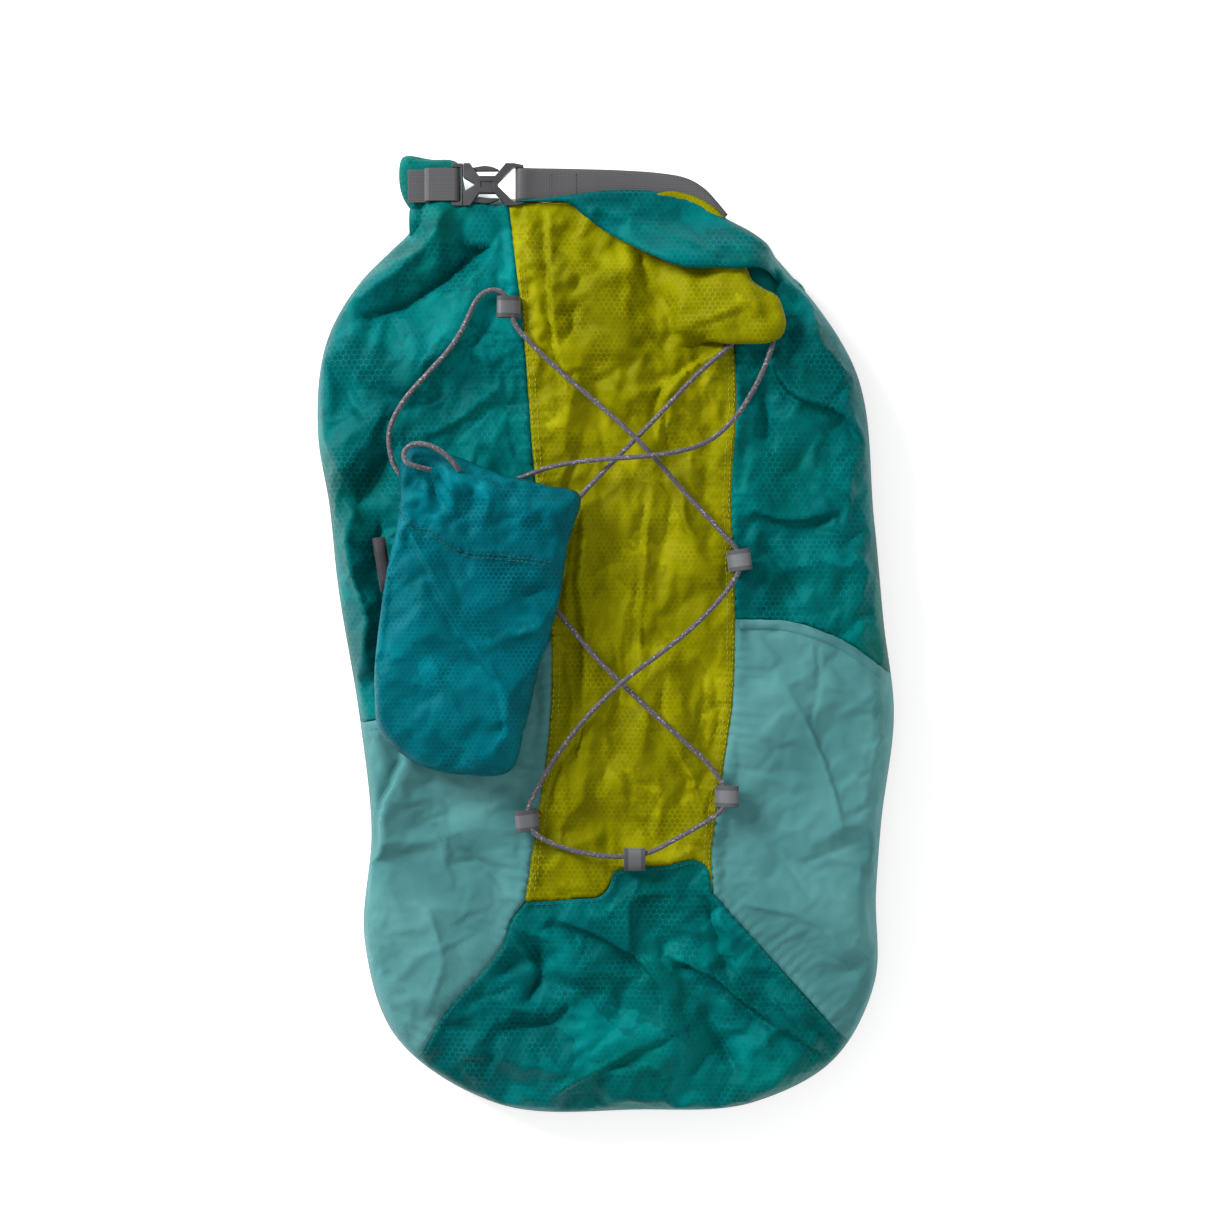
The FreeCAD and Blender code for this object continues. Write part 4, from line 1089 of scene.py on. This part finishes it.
# ---------------------------------------------------------------- stow sack
sack_outline = smooth_line(SACK_OUTLINE, 2.5, True)
channel = smooth_line(CHANNEL_LINE, 2.5)
SACK_FOLDS = [
    ([(-121.6, 67.5), (-96.7, 17.6), (-76.8, -14), (-63.5, -35.5), (-61.8, -66)], 3.6, 8, "step"),
    ([(-55, 19.3), (-44, 26), (-30, 30)], 3.5, 6, "valley"),
    ([(-56, 6), (-44, 2), (-34, 14)], 2.6, 6, "ridge"),
    ([(-76, -60), (-64, -52), (-52, -50)], 2.8, 6, "step"),
    ([(-92, -62), (-74, -72), (-60, -78)], 2.4, 6, "ridge"),
    ([(-112, 60), (-110, 20), (-118, -20)], 1.8, 12, "ridge"),
    ([(-124, 90), (-104, 84), (-90, 70)], 2.6, 5, "valley"),
    ([(-110, 108), (-104, 92), (-100, 74)], 3.0, 5, "valley"),
    ([(-98, 104), (-92, 86), (-90, 66)], 3.0, 5, "ridge"),
    ([(-84, 98), (-80, 82), (-82, 64)], 3.0, 5, "valley"),
    ([(-74, 96), (-70, 80), (-76, 60)], 2.6, 5, "ridge"),
    ([(-60, 92), (-52, 78), (-40, 70)], 2.0, 7, "ridge"),
    ([(-50, 88), (-40, 66), (-30, 50)], 1.8, 7, "valley"),
    ([(-118, 100), (-122, 82), (-116, 70)], 2.4, 5, "ridge"),
    ([(-104, 100), (-118, 88), (-124, 74)], 2.6, 4, "valley"),
    ([(-102, 100), (-94, 84), (-84, 70)], 2.6, 4, "valley"),
    ([(-98, 100), (-84, 90), (-70, 82)], 2.4, 4, "ridge"),
    ([(-92, 101), (-76, 95), (-60, 90)], 2.4, 4, "valley"),
    ([(-106, 98), (-106, 80), (-104, 64)], 2.4, 4, "ridge"),
    ([(-30, 80), (-46, 72), (-60, 60)], 2.0, 6, "ridge"),
    ([(-128, 60), (-130, 10), (-134, -30)], 2.0, 6, "valley"),
    ([(-104, -10), (-96, -44), (-84, -70)], 1.8, 8, "ridge"),
]


def sack_top(x, y, d):
    body = 61 + 9 * (1 - np.exp(-d / 6)) + 1.5 * smoothstep(60, 100, y)
    wrinkles = 1.5 * fold_height(x, y, SACK_FOLDS) + 2.2 * crumple(x, y, 26, 51, 55, 1.8)
    wrinkles += 1.5 * crumple(x, y, 12, 57, 75, 1.7) * smoothstep(44, 66, y)
    wrinkles += small_creases(x, y, (-138, -84, -20, 60), 21, 26, 115, 30, 40, 2.0)
    wrinkles += small_creases(x, y, (-126, 58, -20, 110), 22, 40, 80, 35, 18, 2.6)
    wrinkles = np.where(wrinkles > 2, 2 + 2 * np.tanh((wrinkles - 2) / 2), wrinkles)
    gap, side, along = line_field(x, y, channel)
    hem = 0.9 * np.exp(-((gap - 1.5) / 1.6) ** 2) + 0.5 * np.sin(along / 5 * 2 * math.pi) * np.exp(-gap / 4)
    hem += np.where(side > 0, 0.9 * np.exp(-gap / 10), -0.4 * np.exp(-gap / 3))
    return body + (wrinkles + hem) * smoothstep(0, 6, d)


def sack_bottom(x, y, d):
    rest = 53.4 + 2.4 * smoothstep(52, 66, y)
    return rest + 5 * np.exp(-d / 2.5) + 0.3 * crumple(x, y, 24, 61)


sack = pillow(
    "sack_cloth_body", sack_outline, sack_top, sack_bottom, 60.0, SACK_TEAL, min(SPACING, 2.4),
    [channel[1:-1]],
)
sack_cloth = vertices_of(sack.data)
sack_faces = np.array([tuple(p.vertices) for p in sack.data.polygons])
sack_cloth = simulate(sack_cloth, sack_faces, np.where(sack_cloth[:, 2] < 56, 1.0, 0.0), 10, 3.0, 0.6)
sack.data.vertices.foreach_set("co", (sack_cloth * MM).ravel())
sack.data.update()
sack_tree = tree_of(sack_cloth, sack_faces)
put(sack, "stow_sack", "teal_nylon", "stow_sack_body", "stow_sack_channel")
stitches(
    "sack_hem_thread", [offset_line(channel[2:-2], d) for d in (1.2, -1.2)], TEAL_THREAD, "stow_sack",
    "teal_nylon", (2.6, 1.9, 0.5), height=lambda x, y: height_on(sack_tree, x, y, 64.0),
)


# ---------------------------------------------------------------- straps, buckle and collar
def copy_of(name, node, material):
    """A piece with the CAD node's own shape."""
    piece = bpy.data.objects.new(name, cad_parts[node].data.copy())
    bpy.context.scene.collection.objects.link(piece)
    piece.data.materials.clear()
    piece.data.materials.append(material)
    return piece


def bevelled(node, material, width, slot, body):
    """The CAD node's own shape with rounded edges."""
    piece = copy_of(node + "_rounded", node, material)
    mesh = piece.data
    work = bmesh.new()
    work.from_mesh(mesh)
    bmesh.ops.remove_doubles(work, verts=work.verts, dist=1e-6)
    bmesh.ops.dissolve_limit(work, angle_limit=0.02, verts=work.verts, edges=work.edges)
    work.to_mesh(mesh)
    work.free()
    bevel = piece.modifiers.new("edges", "BEVEL")
    bevel.width = width * MM
    bevel.segments = 3
    bevel.limit_method = "ANGLE"
    bevel.angle_limit = math.radians(35)
    bevel.use_clamp_overlap = True
    mesh.polygons.foreach_set("use_smooth", [False] * len(mesh.polygons))
    put(piece, body, slot, node)


for node, body in (
    ("buckle_female", "rolltop"), ("buckle_male", "buckle_insert"),
    ("buckle_prong_upper", "prong_upper"), ("buckle_prong_lower", "prong_lower"),
    ("ladder_lock_left", "pack"), ("ladder_lock_right", "pack"),
):
    bevelled(node, GREY_PLASTIC, 0.7, "grey_plastic", body)
for node, body, material in (
    ("strap_left_anchor", "rolltop", GREY_WEB), ("strap_left_loop", "buckle_insert", GREY_WEB),
    ("shoulder_webbing_left", "pack", SIDE_WEB), ("shoulder_webbing_right", "pack", SIDE_WEB),
    ("haul_loop", "pack", GREY_WEB),
):
    bevelled(node, material, 0.3, "grey_webbing", body)


def strap(name, stations, width, thickness, material):
    """A woven strap through stations (x, y, z, heading in degrees), soft at its two edges."""
    columns = 11
    path = smooth_line(stations, 1.6)
    vertices = []
    for x, y, z, heading in path:
        s, c = math.sin(math.radians(heading)), math.cos(math.radians(heading))
        for a in np.linspace(-0.5, 0.5, columns):
            vertices.append((x - s * a * width, y + c * a * width, z - 0.25 * (2 * abs(a)) ** 8))
    piece = new_object(name, np.array(vertices), grid_faces(len(path), columns), [material])
    thicken(piece, thickness, 0)
    return piece


# From the sewn-back end under the strap, round the buckle's bar and along the roll to its right end.
closure = strap(
    "closure_strap_web",
    [
        (-17, 275, 25.9, 0), (-34, 275, 25.9, 0), (-46, 275, 25.6, 0), (-50.5, 275, 25.2, 0),
        (-53.6, 275, 25.5, 0), (-55.2, 275, 28, 0), (-53.6, 275, 30.5, 0), (-50.5, 275, 30.8, 0),
        (-46, 275, 29.6, 0), (-34, 275, 28.3, 0),
        (-17, 274.7, 28.1, -1), (10, 273.8, 28.2, -3), (30, 272.3, 28.8, -6), (43, 270.2, 29.8, -11),
        (53.5, 264.8, 31.0, -27), (61, 256.5, 32.0, -42), (66.5, 249.5, 32.2, -48),
    ],
    20, 1.4, GREY_WEB,
)
put(closure, "rolltop", "grey_webbing", "closure_strap")
stitches(
    "strap_thread", [np.array([(x, y) for y in np.arange(266, 284.6, 1.5)]) for x in (-35.2, -33.8, -18.8)],
    TAPE_EDGE, "rolltop", "grey_webbing", (1.9, 1.4, 0.5), 0.2, 0.05, lambda x, y: 28.9,
)


for node, material in (
    ("cord_lock_body", BLACK_PLASTIC), ("cord_lock_button", BLACK_PLASTIC), ("collar_stiffener", STIFFENER),
):
    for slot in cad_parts[node].material_slots:
        slot.link = "OBJECT"
        slot.material = material


# The lock's spring keeps the CAD node's shape, on a mesh of its own.
spring = copy_of("cord_lock_spring_coil", "cord_lock_spring", SPRING)
put(spring, "pack", "spring_steel", "cord_lock_spring")
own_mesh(spring)

tab = ribbon(
    "side_tab_tape",
    np.array([(-138.1, 58.8), (-136.8, 50), (-135.5, 42.5), (-134.2, 34), (-132.9, 26.4)]),
    8, 1.4, DARK_TAPE, 1.0, lambda x, y: max(surface(x, y), 46.6),
)
put(tab, "pack", "dark_tape", "side_tab")



def rounded(level, height, reach):
    """A height that leaves level at the piece's edge and settles at level + height."""
    return lambda x, y, d: level + height * (1 - np.exp(-d / reach))


def left_end_top(x, y, d):
    crease = fold_height(x, y, [([(-124, 290), (-116, 276), (-112, 262)], 1.6, 5, "step")])
    return rounded(16, 5, 3)(x, y, d) + (0.5 * crumple(x, y, 12, 71) + crease) * smoothstep(0, 4, d)


LEFT_END = [
    (-126, 293.5), (-108, 292.5), (-92, 290.5), (-88, 278), (-88, 262), (-104, 258), (-118, 259),
    (-124, 266), (-128, 282),
]
RIGHT_END = [(44, 258), (46, 270), (54, 270), (62, 264), (69, 256), (72, 250), (58, 252)]
# The collar's lime lining shows as a thin sliver between the webbing and the shoulder's fold.
LINING = [
    (28, 268), (38, 270.4), (50, 268.6), (62, 263.3), (69.5, 257.5), (73.4, 252.8), (66, 251), (56, 258),
    (44, 263.5),
]
left_end = pillow(
    "collar_left_cloth", smooth_line(LEFT_END, 2.5, True), left_end_top, rounded(16, -7, 3), 16, TEAL, 2.4,
)
put(left_end, "rolltop", "teal_nylon", "collar_left_end")
right_end = pillow(
    "collar_right_cloth", smooth_line(RIGHT_END, 2.5, True), rounded(18, 8, 3), rounded(18, -9, 3), 18,
    TEAL, 2.4,
)
put(right_end, "rolltop", "teal_nylon", "collar_right_end")
lining = pillow(
    "collar_lining_edge", smooth_line(LINING, 1.5, True), rounded(33.3, 0.5, 1.2),
    rounded(33.3, -0.4, 1.2), 33.3, LIME, 1.5,
)
put(lining, "rolltop", "lime_nylon")


def roll_cloth():
    """The rolled collar: a spiral of cloth round the x axis, open at its two ends."""
    turns, steps = 2.6, 90
    section = []
    for k in range(steps + 1):
        angle = k / steps * turns * 2 * math.pi
        r = 1 - 0.62 * k / steps
        y, z = 252.5 + 8.6 * r * math.cos(angle), 18.2 + 9.6 * r * math.sin(angle)
        section.append((y, z))
    along = np.linspace(-121, 64, 40)
    vertices = np.array([(x, y, z) for x in along for y, z in section])
    piece = new_object("collar_roll_cloth", vertices, grid_faces(len(along), len(section)), [TEAL])
    thicken(piece, 0.5)
    put(piece, "rolltop", "teal_nylon", "collar_roll")


roll_cloth()

# ---------------------------------------------------------------- shoulder straps
HALF_STRAP = [
    (28, 222), (58, 224), (80, 212), (98, 160), (108, 90), (106, 20), (100, -35), (84, -50),
    (66, -40), (62, 20), (60, 90), (48, 150), (30, 195),
]
for side, name in ((-1, "shoulder_strap_left"), (1, "shoulder_strap_right")):
    line = smooth_line([(side * x, y) for x, y in HALF_STRAP], 3, True)
    pad = pillow(name + "_pad", line, rounded(2.6, 2.1, 3), rounded(2.6, -2.4, 3), 2.6, MESH, 5.0)
    put(pad, "pack", "back_mesh", name)

# ---------------------------------------------------------------- floor and light
floor = bpy.data.objects.new("floor", bpy.data.meshes.new("floor"))
floor.data.from_pydata([(-6, -6, 0), (6, -6, 0), (6, 6, 0), (-6, 6, 0)], [], [(0, 1, 2, 3)])
bpy.context.scene.collection.objects.link(floor)
pale = Nodes("pale_floor")
pale.shader.inputs["Emission Color"].default_value = (1, 1, 1, 1)
pale.shader.inputs["Emission Strength"].default_value = 0.5
paper = pale.ramp(pale.noise(2), (0.3, 0.90), (0.7, 0.92))
floor.data.materials.append(pale.finish(paper, 0.9, Specular_IOR_Level=0.1))


def area_light(name, place, aim, size, power):
    data = bpy.data.lights.new(name, "AREA")
    data.shape = "RECTANGLE"
    data.size = data.size_y = size
    data.energy = power
    lamp = bpy.data.objects.new(name, data)
    lamp.location = place
    lamp.rotation_euler = (Vector(aim) - Vector(place)).to_track_quat("-Z", "Y").to_euler()
    bpy.context.scene.collection.objects.link(lamp)


area_light("key", (-1.5, 1.2, 1.15), (0, 0, 0), 0.8, 60)
area_light("fill", (1.5, -1.2, 1.6), (0, 0, 0), 1.6, 9)
world = bpy.data.worlds.new("studio")
world.use_nodes = True
world.node_tree.nodes["Background"].inputs["Color"].default_value = (1, 1, 1, 1)
world.node_tree.nodes["Background"].inputs["Strength"].default_value = 0.5
bpy.context.scene.world = world
